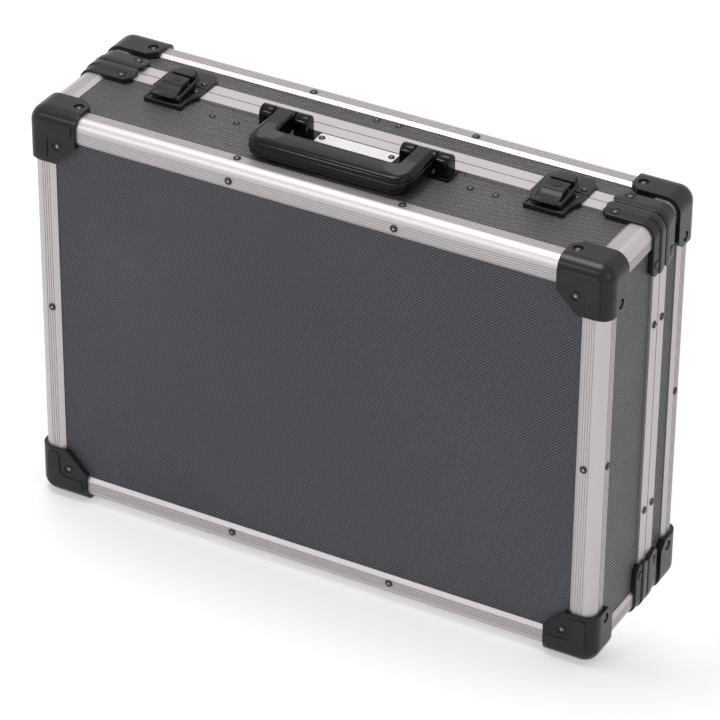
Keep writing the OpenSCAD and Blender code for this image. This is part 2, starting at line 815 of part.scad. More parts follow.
// Handle: a mounting plate with four ears, the grip, and its two pins
module ear(x) {
  difference() {
    translate([x, 0, 0]) run_x(ear_t) {
      translate([pivot_y, pivot_z]) circle(ear_r);
      translate([pivot_y - ear_r, mount_z - eps]) square([2 * ear_r, pivot_z - mount_z + eps]);
    }
    translate([0, pivot_y, pivot_z]) rotate([0, 90, 0])
      cylinder(h = 2 * case_l, r = handle_pin_r + pin_gap, center = true);
  }
}
module handle_plate() {
  color(black) difference() {
    union() {
      box(-mount_l / 2, mount_l / 2, mount_y - mount_w / 2, mount_y + mount_w / 2, z_panel, mount_z);
      both_x() ear(ear_in);
      both_x() ear(ear_out);
    }
    small_pin_holes(concat(mount_pins, label_pins));
  }
}
module label_plate() {
  color("#e2e2e0") difference() {
    box(-label_l / 2, label_l / 2, mount_y - label_w / 2, mount_y + label_w / 2, mount_z, mount_z + label_t);
    small_pin_holes(label_pins);
  }
}
module handle_pins() {
  color(steel) both_x() translate([arm_x, pivot_y, pivot_z]) rotate([0, 90, 0])
    cylinder(h = arm_w + 2 * ear_gap + 2 * ear_t - 2, r = handle_pin_r, center = true);
}
// Outline of the grip, drawn inset by d
module grip_outline(d) {
  x = grip_l / 2 - d;
  y0 = pivot_y - grip_reach + d;
  r = grip_r - d;
  inner_x = arm_x - arm_w / 2 + d;
  bar_y = pivot_y - grip_reach + grip_bar - d;
  difference() {
    union() {
      translate([-x + r, y0]) square([2 * x - 2 * r, r + 1]);
      translate([-x, y0 + r]) square([2 * x, bar_y - y0 - r + 8]);
      for (s = [-1, 1]) {
        translate([s * (x - r), y0 + r]) circle(r);
        arm_outline(s, d, bar_y);
      }
    }
    // The opening for the fingers
    translate([-inner_x + 3, bar_y]) square([2 * inner_x - 6, 60]);
    translate([-inner_x, bar_y + 3]) square([2 * inner_x, 60]);
    for (s = [-1, 1]) translate([s * (inner_x - 3), bar_y + 3]) circle(3);
  }
}
// An arm, from the grip's full width to its width at the pivot
module arm_outline(s, d, bar_y) {
  out_x = arm_x + arm_w / 2 - d;
  polygon([
    [s * (grip_l / 2 - d), bar_y + 7],
    [s * out_x, pivot_y - ear_r],
    [s * out_x, pivot_y],
    [s * (arm_x - arm_w / 2 + d), pivot_y],
    [s * (arm_x - arm_w / 2 + d), bar_y]
  ]);
}
module handle_grip() {
  step = 1.6;
  color(black) difference() {
    union() {
      run_z(grip_bot + step, grip_top - 4.5) grip_outline(0);
      run_z(grip_bot, grip_bot + step + eps) grip_outline(1.4);
      run_z(grip_top - 4.5 - eps, grip_top - 1.3) grip_outline(1.2);
      run_z(grip_top - 1.3 - eps, grip_top) grip_outline(2.4);
      both_x() translate([arm_x, pivot_y, pivot_z]) rotate([0, 90, 0])
        cylinder(h = arm_w, r = ear_r, center = true);
    }
    // Clears the arms' undersides at the pivot
    box(-case_l, case_l, pivot_y - ear_r, pivot_y, grip_bot - 1, pivot_z - ear_r);
    translate([0, pivot_y, pivot_z]) rotate([0, 90, 0])
      cylinder(h = case_l, r = handle_pin_r + pin_gap, center = true);
  }
}

// Latch plate: wide foot over the base, seated on the panel and the strip
module latch_outline() {
  y0 = y_seam - latch_reach;
  y1 = y_base;
  far = latch_far_w / 2;
  near = latch_near_w / 2;
  polygon([
    [-far + 1.5, y0], [far - 1.5, y0], [far, y0 + 1.5], [far - 0.6, y0 + 8], [far + 1.2, y0 + 15],
    [near, y0 + 20], [near, y1], [-near, y1], [-near, y0 + 20], [-far - 1.2, y0 + 15],
    [-far + 0.6, y0 + 8], [-far, y0 + 1.5]
  ]);
}
module cheeks() {
  for (s = [-1, 1]) translate([s * (cheek_in + cheek_out) / 2, 0, 0])
    run_x(cheek_out - cheek_in) {
      translate([lever_y, lever_z]) circle(cheek_r);
      translate([lever_y - cheek_neck, plate_top - eps]) square([2 * cheek_neck, lever_z - plate_top + eps]);
    }
}
module latch_plate(x) {
  color(black) difference() {
    translate([x, 0, 0]) {
      run_z(z_panel, plate_top) latch_outline();
      cheeks();
    }
    box(-case_l, case_l, y_base - strip_w - 0.1, y_seam, 0, z_strip);
    translate([0, lever_y, lever_z]) rotate([0, 90, 0])
      cylinder(h = 2 * case_l, r = latch_pin_r + pin_gap, center = true);
    pin_holes(latch_pins, latch_grip);
  }
  // Strike on one cheek, over the lock's cam when it is turned
  color(black) translate([x, 0, strike_z])
    box(cheek_in - strike_w, cheek_in + eps, lever_y - cheek_neck, lock_y + strike_w, 0, strike_t);
}
cam_t = 1.2;
cam_w = 3;
cam_z = plate_top + 1.8;
cam_reach = cheek_in - 0.5;
strike_w = 1.6;
strike_t = 0.9;
strike_z = cam_z + cam_t + 0.3;
module left_latch_plate() {
  latch_plate(-latch_x);
}
module right_latch_plate() {
  latch_plate(latch_x);
}
module lever_pins() {
  stub_in = cheek_in + 0.2;
  color(steel) for (s = [-1, 1], t = [-1, 1])
    translate([s * latch_x + t * (stub_in + lever_w / 2) / 2, lever_y, lever_z]) rotate([0, 90, 0])
      cylinder(h = lever_w / 2 - stub_in, r = latch_pin_r, center = true);
}

// Lever: a bent sheet with side flanges, a dipped tab, and the bail's two pins
module lever_sheet() {
  t = lever_t;
  polygon([
    [lever_end, lever_top], [fold_y, lever_top], [fold_y - 6, lever_top - 1.7], [bail_y - 0.5, lever_top - 3.9],
    [bail_y - 3, lever_top - 4.3], [tab_end, lever_top - 3.2], [tab_end, lever_top - 3.2 - t],
    [bail_y - 3, lever_top - 4.3 - t], [bail_y - 0.5, lever_top - 3.9 - t], [fold_y - 6, lever_top - 1.7 - t],
    [fold_y, lever_top - t], [lever_end, lever_top - t]
  ]);
}
module lever_flange() {
  polygon([
    [lever_end, lever_top - eps], [fold_y, lever_top - eps], [fold_y - 6, lever_top - 1.7], [bail_y, lever_top - 4.2],
    [bail_y - 2.4, lever_top - 4.6], [bail_y - 2.4, bail_z - 2], [lever_y, bail_z - 2], [lever_end, lever_z - 1.2]
  ]);
}
module latch_lever(x) {
  color(black) translate([x, 0, 0]) {
    difference() {
      union() {
        run_x(lever_w) lever_sheet();
        for (s = [-1, 1]) translate([s * (lever_in + lever_w / 2) / 2, 0, 0])
          run_x(lever_w / 2 - lever_in) lever_flange();
      }
      translate([0, lever_y, lever_z]) rotate([0, 90, 0])
        cylinder(h = 2 * lever_w, r = latch_pin_r + pin_gap, center = true);
      translate([0, lock_y, lever_top - 3]) cylinder(h = 5, r = lock_r + pin_gap);
    }
    for (s = [-1, 1]) translate([s * (lever_in + bail_turn_r + bail_r) / 2, bail_y, bail_z]) rotate([0, 90, 0])
      cylinder(h = bail_turn_r + bail_r - lever_in, r = latch_pin_r, center = true);
  }
}
module left_latch_lever() {
  latch_lever(-latch_x);
}
module right_latch_lever() {
  latch_lever(latch_x);
}

// Bail: a bent wire from the lever's pins round the keeper's boss
module latch_bail(x) {
  run = bail_run / cos(bail_tilt);
  color(black) translate([x, bail_y, bail_z]) difference() {
    union() {
      rotate([bail_tilt, 0, 0]) {
        for (s = [-1, 1]) translate([s * bail_turn_r, 0, 0]) rotate([-90, 0, 0]) cylinder(h = run, r = bail_r);
        translate([0, run, 0]) rotate_extrude(angle = 180) translate([bail_turn_r, 0]) circle(bail_r);
      }
      for (s = [-1, 1]) translate([s * bail_turn_r, 0, 0]) rotate([0, 90, 0])
        cylinder(h = 2 * bail_r - 0.4, r = latch_pin_r + 0.8, center = true);
    }
    rotate([0, 90, 0]) cylinder(h = 4 * bail_turn_r, r = latch_pin_r + pin_gap, center = true);
  }
}
module left_latch_bail() {
  latch_bail(-latch_x);
}
module right_latch_bail() {
  latch_bail(latch_x);
}

// Lock: a barrel with a key slot and a cam
module lock_barrel(x) {
  color(steel) translate([x, lock_y, 0]) {
    difference() {
      translate([0, 0, cam_z]) cylinder(h = lever_top + 0.3 - cam_z, r = lock_r);
      translate([-0.5, -2.1, lever_top - 3]) cube([1, 4.2, 4]);
    }
    translate([-cam_w / 2, -cam_reach, cam_z]) cube([cam_w, cam_reach, cam_t]);
  }
}
module left_lock_barrel() {
  lock_barrel(-latch_x);
}
module right_lock_barrel() {
  lock_barrel(latch_x);
}

// Keeper: a plate on the lid with a boss that the bail goes round
module keeper_outline() {
  near = latch_near_w / 2;
  far = latch_far_w / 2 - 2;
  y1 = y_seam + keeper_reach;
  polygon([
    [-near, y_lid], [near, y_lid], [near, y1 - 8], [far + 1, y1 - 1.5], [far - 1.5, y1],
    [-far + 1.5, y1], [-far - 1, y1 - 1.5], [-near, y1 - 8]
  ]);
}
// Round behind, flat in front
module boss_outline() {
  intersection() {
    translate([0, boss_mid]) circle(boss_r);
    translate([-boss_r, boss_mid]) square(2 * boss_r);
  }
  translate([-boss_r, boss_front]) square([2 * boss_r, boss_mid - boss_front + eps]);
}
module latch_keeper(x) {
  color(black) difference() {
    translate([x, 0, 0]) {
      run_z(z_panel, plate_top) keeper_outline();
      run_z(plate_top + 0.6, lever_top) boss_outline();
      run_z(plate_top - eps, plate_top + 0.6 + eps) intersection() {
        boss_outline();
        keeper_outline();
      }
    }
    box(-case_l, case_l, y_seam, y_lid + strip_w + 0.1, 0, z_strip);
    pin_holes(keeper_pins, latch_grip);
  }
}
module left_latch_keeper() {
  latch_keeper(-latch_x);
}
module right_latch_keeper() {
  latch_keeper(latch_x);
}

// Hinges under the seam: leaves on the strips, knuckles round a pin
knuckle_l = hinge_l / 3;
hinge_pin_xs = [-hinge_l / 2 + 8, 0, hinge_l / 2 - 8];
leaf_pin_in = strip_w - 4.5;
module hinge_holes(side) {
  both_x() for (dx = hinge_pin_xs)
    translate([hinge_x + dx, y_seam + side * (seam_gap / 2 + leaf_pin_in), z_bot + strip_drop])
      rotate([180, 0, 0]) rivet_hole(strip_grip);
}
module leaf(side, knuckles) {
  leaf_z = z_bot + strip_drop - leaf_t;
  difference() {
    union() {
      difference() {
        box(-hinge_l / 2, hinge_l / 2, side < 0 ? -strip_w : 0, side < 0 ? 0 : strip_w, leaf_z, leaf_z + leaf_t);
        rotate([0, 90, 0]) translate([-hinge_z, 0, 0])
          cylinder(h = hinge_l + 1, r = hinge_clear, center = true);
      }
      for (k = knuckles) translate([k * knuckle_l, 0, hinge_z]) {
        rotate([0, 90, 0]) cylinder(h = knuckle_l - 0.4, r = knuckle_r, center = true);
        box(-knuckle_l / 2 + 0.2, knuckle_l / 2 - 0.2, side < 0 ? -hinge_clear - 1 : 0,
          side < 0 ? 0 : hinge_clear + 1, leaf_z - hinge_z, leaf_z - hinge_z + leaf_t);
      }
    }
    translate([0, 0, hinge_z]) rotate([0, 90, 0])
      cylinder(h = hinge_l + 1, r = hinge_pin_r + pin_gap, center = true);
    for (dx = hinge_pin_xs) translate([dx, side * (seam_gap / 2 + leaf_pin_in), leaf_z]) rotate([180, 0, 0])
      rivet_hole(4);
  }
}
module hinge_base_leaves() {
  color(steel) both_x() translate([hinge_x, y_seam, 0]) {
    leaf(-1, [-1, 1]);
    leaf_rivets(-1);
  }
}
module hinge_lid_leaves() {
  color(steel) both_x() translate([hinge_x, y_seam, 0]) {
    leaf(1, [0]);
    leaf_rivets(1);
  }
}
module leaf_rivets(side) {
  for (dx = hinge_pin_xs)
    translate([dx, side * (seam_gap / 2 + leaf_pin_in), z_bot + strip_drop - leaf_t]) rotate([180, 0, 0])
      rivet(leaf_t + strip_grip, small_rivet_r);
}
module hinge_pins() {
  color(steel) both_x() translate([hinge_x, y_seam, hinge_z]) rotate([0, 90, 0])
    cylinder(h = hinge_l, r = hinge_pin_r, center = true);
}

// Lid stays: a bracket on each side wall, and two flat links that fold at an elbow
module stay_bracket(at, reach) {
  translate([stay_wall - stay_plate_t, at[0] - 8, at[1] - 12]) cube([stay_plate_t, 16, 24]);
  translate([stay_wall - stay_plate_t - reach, at[0], at[1]]) rotate([0, 90, 0])
    cylinder(h = reach + eps, r = stud_r);
}
module flat_link(x, a, b, bore_a, bore_b) {
  l = norm(b - a);
  tilt = atan2(b[1] - a[1], b[0] - a[0]);
  translate([x, a[0], a[1]]) rotate([tilt, 0, 0]) rotate([90, 0, 90]) linear_extrude(link_t) difference() {
    union() {
      circle(link_w / 2);
      translate([l, 0]) circle(link_w / 2);
      translate([0, -link_w / 2]) square([l, link_w]);
    }
    if (bore_a) circle(stud_r + pin_gap);
    if (bore_b) translate([l, 0]) circle(stud_r + pin_gap);
  }
}
base_stud = link_gap + link_t + 0.4;
lid_stud = 2 * link_gap + 2 * link_t + 0.4;
elbow_gap = 0.1;
module base_stay_brackets() {
  color(steel) both_x() stay_bracket(stay_a, base_stud);
}
module lid_stay_brackets() {
  color(steel) both_x() stay_bracket(stay_b, lid_stud);
}
module base_stay_link() {
  color(steel) {
    flat_link(base_link_x, stay_a, stay_c, true, false);
    translate([base_link_x - link_gap - link_t - 0.4, stay_c[0], stay_c[1]]) rotate([0, 90, 0])
      cylinder(h = link_gap + link_t + 0.4 + eps, r = stud_r - elbow_gap);
  }
}
module lid_stay_link() {
  color(steel) flat_link(lid_link_x, stay_b, stay_c, true, true);
}
module right_base_stay_link() {
  base_stay_link();
}
module left_base_stay_link() {
  mirror([1, 0, 0]) base_stay_link();
}
module right_lid_stay_link() {
  lid_stay_link();
}
module left_lid_stay_link() {
  mirror([1, 0, 0]) lid_stay_link();
}

// Panels and profiles of the lid
module lid_rear_panel() {
  color(laminate) difference() {
    box(-x_side + web_w, x_side - web_w, y_rear - panel_in, y_rear - skin_t, z_bot + web_w, z_top - web_w);
    pin_holes(lid_profile_pins, panel_in);
    corner_holes(lid_guard_pins, lid_strap_pins);
  }
}
module lid_top_panel() {
  color(laminate) difference() {
    top_wall(lid_wall_y0, lid_wall_y1);
    pin_holes(lid_profile_pins, panel_in);
    corner_holes(lid_guard_pins, lid_strap_pins);
    small_pin_holes(lid_panel_pins);
    pin_holes(keeper_pins, latch_grip);
  }
}
module lid_bottom_panel() {
  color(laminate) difference() {
    to_bottom() top_wall(lid_wall_y0, lid_wall_y1);
    hinge_holes(1);
    pin_holes(lid_profile_pins, panel_in);
    corner_holes(lid_guard_pins, lid_strap_pins);
  }
}
module lid_right_panel() {
  color(laminate) difference() {
    right_wall(lid_wall_y0, lid_wall_y1);
    pin_holes(lid_profile_pins, panel_in);
    pin_holes(lid_strip_pins, strip_grip);
    corner_holes(lid_guard_pins, lid_strap_pins);
  }
}
module lid_left_panel() {
  mirror([1, 0, 0]) lid_right_panel();
}
module rear_top_profile() {
  to_rear() front_top_profile();
}
module rear_bottom_profile() {
  to_rear() front_bottom_profile();
}
module rear_right_profile() {
  to_rear() front_right_profile();
}
module rear_left_profile() {
  to_rear() front_left_profile();
}
module lid_depth_profiles() {
  color(alu) both_x() both_z() difference() {
    depth_profile(y_lid, y_rear - leg_w);
    pin_holes(lid_guard_pins, guard_grip);
    pin_holes(lid_strap_pins, strap_grip);
  }
}

base_front_panel();
base_top_panel();
base_bottom_panel();
base_left_panel();
base_right_panel();
front_top_profile();
front_bottom_profile();
front_left_profile();
front_right_profile();
base_depth_profiles();
base_seam_frame();
front_corner_guards();
base_seam_straps();
base_profile_rivets();
base_guard_rivets();
base_fitting_rivets();
base_backing_plates();
base_foam();
handle_plate();
label_plate();
handle_pins();
left_latch_plate();
right_latch_plate();
lever_pins();
hinge_base_leaves();
hinge_pins();
base_stay_brackets();
lid_rear_panel();
lid_top_panel();
lid_bottom_panel();
lid_left_panel();
lid_right_panel();
rear_top_profile();
rear_bottom_profile();
rear_left_profile();
rear_right_profile();
lid_depth_profiles();
lid_seam_frame();
rear_corner_guards();
lid_seam_straps();
lid_profile_rivets();
lid_guard_rivets();
lid_fitting_rivets();
left_latch_keeper();
right_latch_keeper();
hinge_lid_leaves();
lid_stay_brackets();
lid_foam();
handle_grip();
left_latch_lever();
right_latch_lever();
left_latch_bail();
right_latch_bail();
left_lock_barrel();
right_lock_barrel();
left_base_stay_link();
right_base_stay_link();
left_lid_stay_link();
right_lid_stay_link();
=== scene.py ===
import json
import math
import bmesh
import bpy
from mathutils import Matrix, Vector
from mathutils.geometry import delaunay_2d_cdt


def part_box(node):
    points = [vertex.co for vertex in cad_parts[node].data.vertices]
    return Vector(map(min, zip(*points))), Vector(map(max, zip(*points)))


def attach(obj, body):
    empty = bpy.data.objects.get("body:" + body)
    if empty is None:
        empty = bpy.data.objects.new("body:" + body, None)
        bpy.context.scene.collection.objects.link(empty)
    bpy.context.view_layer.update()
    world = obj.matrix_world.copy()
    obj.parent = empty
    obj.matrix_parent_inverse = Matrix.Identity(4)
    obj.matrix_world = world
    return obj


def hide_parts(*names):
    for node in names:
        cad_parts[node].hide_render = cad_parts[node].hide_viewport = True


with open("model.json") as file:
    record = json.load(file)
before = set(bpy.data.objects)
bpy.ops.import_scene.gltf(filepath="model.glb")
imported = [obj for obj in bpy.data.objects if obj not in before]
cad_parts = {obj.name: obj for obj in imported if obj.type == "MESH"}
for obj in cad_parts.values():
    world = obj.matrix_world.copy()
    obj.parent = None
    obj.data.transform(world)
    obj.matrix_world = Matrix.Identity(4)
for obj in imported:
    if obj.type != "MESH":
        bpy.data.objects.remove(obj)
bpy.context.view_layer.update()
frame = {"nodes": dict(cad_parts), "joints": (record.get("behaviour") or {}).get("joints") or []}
nodes = frame["nodes"]
print("frame loaded")

# Sizes of the case that the pieces follow, in millimetres, read from the frame's nodes
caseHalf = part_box("base_depth_profiles")[1][0] * 1000
joints = {joint["name"]: joint for joint in frame["joints"]}
seamY = joints["lid_hinge"]["pos_m"][1] * 1000
seamGap = 0.8
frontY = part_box("front_top_profile")[0][1] * 1000
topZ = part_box("front_top_profile")[1][2] * 1000
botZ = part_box("front_bottom_profile")[0][2] * 1000
midZ = (topZ + botZ) / 2

cameraValues = {"azimuth": 0.498, "elevation": 0.569, "roll": 0.0090, "lens": 205.84, "distance": 3.00004,
                "centre": (0.0, 0.0125, 0.168), "slide": (-0.002827, -0.021104)}
# Strengths of the surroundings, the floor, and each lamp's place, size and power
lightValues = {"world": 0.50, "seen": 1.0, "floor": 0.22, "fade": (0.45, 1.6), "floorSize": 9000,
               "floorDrop": 0.0003, "aim": (0, 0, 0.17),
               "lamps": {"topLamp": ((-0.4, 0.1, 2.5), (1.05, 1.05), 27.0),
                         "frontLamp": ((-1.3, -2.4, 1.9), (0.55, 0.55), 14.0),
                         "rightLamp": ((2.4, -0.9, 1.3), (0.45, 0.9), 7.0)}}
# Patch of floor that is left open: metres beside, ahead of and past the opened lid
pitValues = {"aside": 0.05, "ahead": 0.012, "past": 0.16, "fade": 0.09}
# For each wall: pitch of the diamonds, tint, its shares in the grooves and on the crowns, and their tones.
# The grooves' share is painted shade and the crowns' share is painted highlight; the walls' tints and shares
# differ to paint how brightly each wall is lit
laminateValues = {"rough": 0.42, "shine": 0.3, "bump": 0.5,
                  "front": {"pitch": (2.94, 2.6), "tint": (0.98, 0.955, 1.17),
                            "groove": 0.015, "crown": 0.165, "tones": (0.075, 0.95)},
                  "top": {"pitch": (2.94, 2.15), "tint": (1.0, 0.945, 0.965),
                          "groove": 0.0005, "crown": 0.38, "tones": (0.42, 0.66)},
                  "side": {"pitch": (2.5, 2.6), "tint": (1.0, 0.945, 0.965),
                           "groove": 0.0005, "crown": 0.44, "tones": (0.44, 0.68)}}
# shadeReach and shade are the reach and share of the painted shade in the profiles' grooves and gaps
profileValues = {"colour": (0.53, 0.494, 0.505), "metallic": 0.8, "rough": 0.44, "streak": 0.01,
                 "shadeReach": 1.6, "shade": 0.45}
guardValues = {"reach": 38.0, "depth": 27.0, "cut": 16.0, "sideCut": 7.0, "edge": 9.0, "thick": 3.0,
               "pad": 0.85, "padTurn": (0.72, 0.98), "padStart": 4.8, "padEnd": 3.0, "padArm": 10.0,
               "sink": 2.4, "seat": 1.5, "dimpleR": 3.9, "dimpleDeep": 5.0, "rivet": 23.0, "rivetLong": 31.0,
               "rivetDeep": 16.0, "cell": 1.6, "padTint": 1.5, "padRough": 0.50,
               "colour": (0.0085, 0.0083, 0.0092), "rough": 0.27, "shine": 0.28}
strapValues = {"reach": 40.0, "width": 17.0, "rib": 7.2, "thick": 1.9, "full": 3.0, "edge": 9.0,
               "rivet": 31.0, "rivetShare": 0.68, "seat": 1.6, "dimpleR": 3.9, "dimpleDeep": 5.0,
               "sink": 2.4, "relief": 3.6, "outerCut": 5.0, "innerCut": 4.0,
               "colour": (0.0085, 0.0083, 0.0092), "rough": 0.27, "shine": 0.28}
# The grip's lower rim is given as height above its bottom and inset
# The crease below its top is given as height from the top, outer inset and inner inset
# Each finish is given as a factor on the colour, roughness, shine, grain and depth of the grain
handleValues = {"length": 130.0, "reach": 49.5, "bar": 21.5, "thick": 15.5, "armX": 56.6, "armW": 16.4,
                "corner": 24.0, "rim": 4.4, "pivotY": -1.5, "pivotZ": 337.4, "bottom": 328.5, "earR": 6.2,
                "earT": 10.4, "earGap": 0.7, "crown": 0.9, "armDrop": 0.35, "pinR": 2.5, "pinGap": 0.06,
                "spacing": 2.0,
                "lowerRim": ((0.0, 3.4), (0.5, 2.0), (1.6, 0.9), (3.4, 0.3), (6.0, 0.05)),
                "crease": ((-6.0, 0.0, 0.0), (-5.5, 0.2, 0.1), (-5.2, 0.7, 0.2), (-4.8, 0.9, 0.2),
                           (-4.5, 0.5, 0.2)),
                "roundFrom": 4.3, "roundTall": 3.9, "roundIn": 1.6,
                "facetX": 56.0, "facetY": -33.5, "facetA": 15.5, "facetB": 10.5, "facetTurn": -38.0,
                "facetDeep": 0.6, "facetTilt": 0.04, "facetIn": 0.97, "facetOut": 1.05,
                "facetClear": (0.9, 1.12), "rimClear": 0.3,
                "plateL": 154.8, "plateW": 16.2, "plateY": -0.7, "plateBottom": 325.5, "plateTop": 327.5,
                "labelL": 63.0, "labelW": 12.4, "labelT": 0.7,
                "colour": (0.003, 0.003, 0.0032), "satin": (8.0, 0.50, 0.45, 1800.0, 0.15),
                "top": (1.0, 0.30, 0.28, 1500.0, 0.05), "gloss": (1.0, 0.12, 0.17, 900.0, 0.01)}
latchValues = {"x": 153.0, "farW": 32.0, "nearW": 39.0, "reach": 31.6, "keeper": 22.0, "plateTop": 329.0,
               "leverTop": 338.0, "leverW": 16.8, "leverY": 10.5, "leverZ": 333.7, "lockY": 8.9,
               "bailY": -7.5, "bailZ": 331.6, "bailR": 1.4, "bossR": 8.5, "bossFront": 16.3, "bossMid": 17.9,
               "turnR": 10.5, "bailFarZ": 335.4, "eyeR": 2.2, "pinR": 1.4, "pinGap": 0.06,
               "footBottom": 325.5, "ribIn": 12.6, "rivetX": 13.5, "rivetY": 13.0, "cheekR": 2.4,
               "cheekIn": 5.5, "cheekOut": 6.9, "strikeZ": 332.3, "strikeT": 0.9, "leverEnd": 13.0,
               "foldY": 2.7, "tabEnd": -12.7, "flare": 0.7, "sheet": 1.4, "leverIn": 7.2, "lockR": 3.1,
               "lockEdge": 0.15, "bead": 1.1, "colour": (0.008, 0.0078, 0.0075), "rough": 0.30,
               "metallic": 0.08, "grain": 240.0, "shine": 0.32, "spread": 0.2}
# How a plastic's tone and roughness vary: share of edge sharpness in the tone, paler on outer edges and
# darker in creases, darkest and palest tone, roughness either way
plasticValues = {"edge": 3.0, "tones": (0.85, 1.9), "rough": (-0.06, 0.08)}
# Colour, roughness, metallic share, grain of the brushing, shine and spread of tone
metalValues = {"pinSteel": ((0.42, 0.40, 0.38), 0.22, 1.0, 300.0, 0.5, 0.2),
               "rivetMetal": ((0.050, 0.049, 0.051), 0.20, 0.85, 300.0, 0.5, 0.2),
               "zincSteel": ((0.55, 0.55, 0.57), 0.30, 1.0, 260.0, 0.5, 0.2),
               "lockMetal": ((0.030, 0.029, 0.028), 0.22, 0.85, 300.0, 0.5, 0.2),
               "plateMetal": ((0.72, 0.705, 0.71), 0.46, 0.6, 420.0, 0.5, 0.06)}
# Profiles of a head and of its stub, as radius and height in head radii
rivetValues = {"height": 1.3, "steps": 32,
               "head": ((0.97, -0.10), (1.0, 0.05), (0.985, 0.14), (0.93, 0.23), (0.82, 0.32), (0.68, 0.385),
                        (0.55, 0.43), (0.47, 0.444), (0.42, 0.43), (0.40, 0.38), (0.39, 0.16)),
               "stub": ((0.37, 0.10), (0.37, 0.26), (0.33, 0.31), (0.20, 0.335), (0.08, 0.34))}
foamValues = {"cell": 24.0, "hump": 1.6, "step": 3.0, "wallGap": 0.3, "edge": 5.0, "round": 2.0,
              "fullness": 0.6, "colour": (0.030, 0.030, 0.033)}


def linked(name, data):
    thing = bpy.data.objects.new(name, data)
    bpy.context.scene.collection.objects.link(thing)
    return thing


def soften(thing, width, segments, angle):
    bevel = thing.modifiers.new("soften", "BEVEL")
    bevel.width = width / 1000
    bevel.segments = segments
    bevel.limit_method = "ANGLE"
    bevel.angle_limit = math.radians(angle)
    bevel.harden_normals = False


# Plain mesh of an object as its modifiers leave it, after which the object goes
def takenFrom(carrier):
    bpy.context.view_layer.update()
    mesh = bpy.data.meshes.new_from_object(carrier.evaluated_get(bpy.context.evaluated_depsgraph_get()))
    bpy.data.objects.remove(carrier)
    return mesh


# Meshes from points in millimetres
def makeMesh(name, points, faces):
    mesh = bpy.data.meshes.new(name)
    mesh.from_pydata([(p[0] / 1000, p[1] / 1000, p[2] / 1000) for p in points], [], faces)
    mesh.validate()
    return mesh


def fixNormals(mesh):
    bm = bmesh.new()
    bm.from_mesh(mesh)
    bmesh.ops.remove_doubles(bm, verts=bm.verts, dist=1e-6)
    bmesh.ops.recalc_face_normals(bm, faces=bm.faces)
    bm.to_mesh(mesh)
    bm.free()


# Rings of equal length joined into a closed skin
def loft(rings, closeEnds=True):
    points = [p for ring in rings for p in ring]
    count = len(rings[0])
    faces = []
    for i in range(len(rings) - 1):
        for j in range(count):
            k = (j + 1) % count
            faces.append((i * count + j, i * count + k, (i + 1) * count + k, (i + 1) * count + j))
    if closeEnds:
        faces.append(tuple(reversed(range(count))))
        faces.append(tuple(range((len(rings) - 1) * count, len(rings) * count)))
    return points, faces


def skin(name, rings):
    mesh = makeMesh(name, *loft(rings))
    fixNormals(mesh)
    return mesh


# Outline with each corner rounded by its radius, unless it is almost straight
def roundedOutline(corners, steps=6, straight=1.55):
    outline = []
    count = len(corners)
    for i in range(count):
        x, y, radius = corners[i]
        here = Vector((x, y))
        before = Vector(corners[i - 1][:2]) - here
        after = Vector(corners[(i + 1) % count][:2]) - here
        half = before.angle(after) / 2
        if radius <= 0 or half > straight:
            outline.append((x, y))
            continue
        reach = min(radius / math.tan(half), before.length * 0.49, after.length * 0.49)
        before.normalize()
        after.normalize()
        middle = here + (before + after).normalized() * reach / math.cos(half)
        start, end = here + before * reach - middle, here + after * reach - middle
        turn = math.atan2(start.cross(end), start.dot(end))
        for k in range(steps + 1):
            c, s = math.cos(turn * k / steps), math.sin(turn * k / steps)
            outline.append((middle.x + start.x * c - start.y * s, middle.y + start.x * s + start.y * c))
    return outline


def rectangle(x0, y0, x1, y1, radius, steps):
    return roundedOutline([(x0, y0, radius), (x1, y0, radius), (x1, y1, radius), (x0, y1, radius)], steps)


# Outline from its half with positive x
def bothSides(half):
    return half + [(-spot[0], *spot[1:]) for spot in reversed(half)]


def circleOutline(x, y, radius, steps=28):
    return [(x + radius * math.cos(2 * math.pi * i / steps), y + radius * math.sin(2 * math.pi * i / steps))
            for i in range(steps)]


# Part of a circle, or of an oval if its height is given
def arc(x, y, radius, steps, start=0.0, turn=math.pi, tall=None):
    angles = [start + turn * i / steps for i in range(steps + 1)]
    return [(x + radius * math.cos(a), y + (tall or radius) * math.sin(a)) for a in angles]


# Flat plate with holes and rounded edges, from z0 to z1
def plateMesh(name, outline, holes, z0, z1, edge=0.4, steps=3):
    curve = bpy.data.curves.new(name, "CURVE")
    curve.dimensions = "2D"
    curve.fill_mode = "BOTH"
    for ring in [outline] + holes:
        spline = curve.splines.new("POLY")
        spline.points.add(len(ring) - 1)
        for i, p in enumerate(ring):
            spline.points[i].co = (p[0] / 1000, p[1] / 1000, 0, 1)
        spline.use_cyclic_u = True
    curve.extrude = (z1 - z0) / 2000 - edge / 1000
    curve.bevel_depth = edge / 1000
    curve.offset = -edge / 1000
    curve.bevel_resolution = steps
    mesh = takenFrom(linked(name, curve))
    bpy.data.curves.remove(curve)
    mesh.transform(Matrix.Translation((0, 0, (z0 + z1) / 2000)))
    fixNormals(mesh)
    return mesh


# Turns a plate drawn in YZ so that its thickness runs along X, at its place on X
def upright(mesh, x=0.0):
    mesh.transform(Matrix(((0, 0, 1, x / 1000), (1, 0, 0, 0), (0, 1, 0, 0), (0, 0, 0, 1))))
    return mesh


def moved(parts, x):
    for mesh, _ in parts:
        mesh.transform(Matrix.Translation((x / 1000, 0, 0)))
    return parts


# Round tube along a path that isn't upright anywhere
def tubeMesh(name, path, radius, steps):
    rings = []
    for i, point in enumerate(path):
        ahead = Vector(path[min(i + 1, len(path) - 1)]) - Vector(path[max(i - 1, 0)])
        side = ahead.cross(Vector((0, 0, 1)))
        side.normalize()
        up = side.cross(ahead).normalized()
        here = Vector(point)
        rings.append([tuple(here + side * x + up * y) for x, y in circleOutline(0, 0, radius, steps)])
    return skin(name, rings)


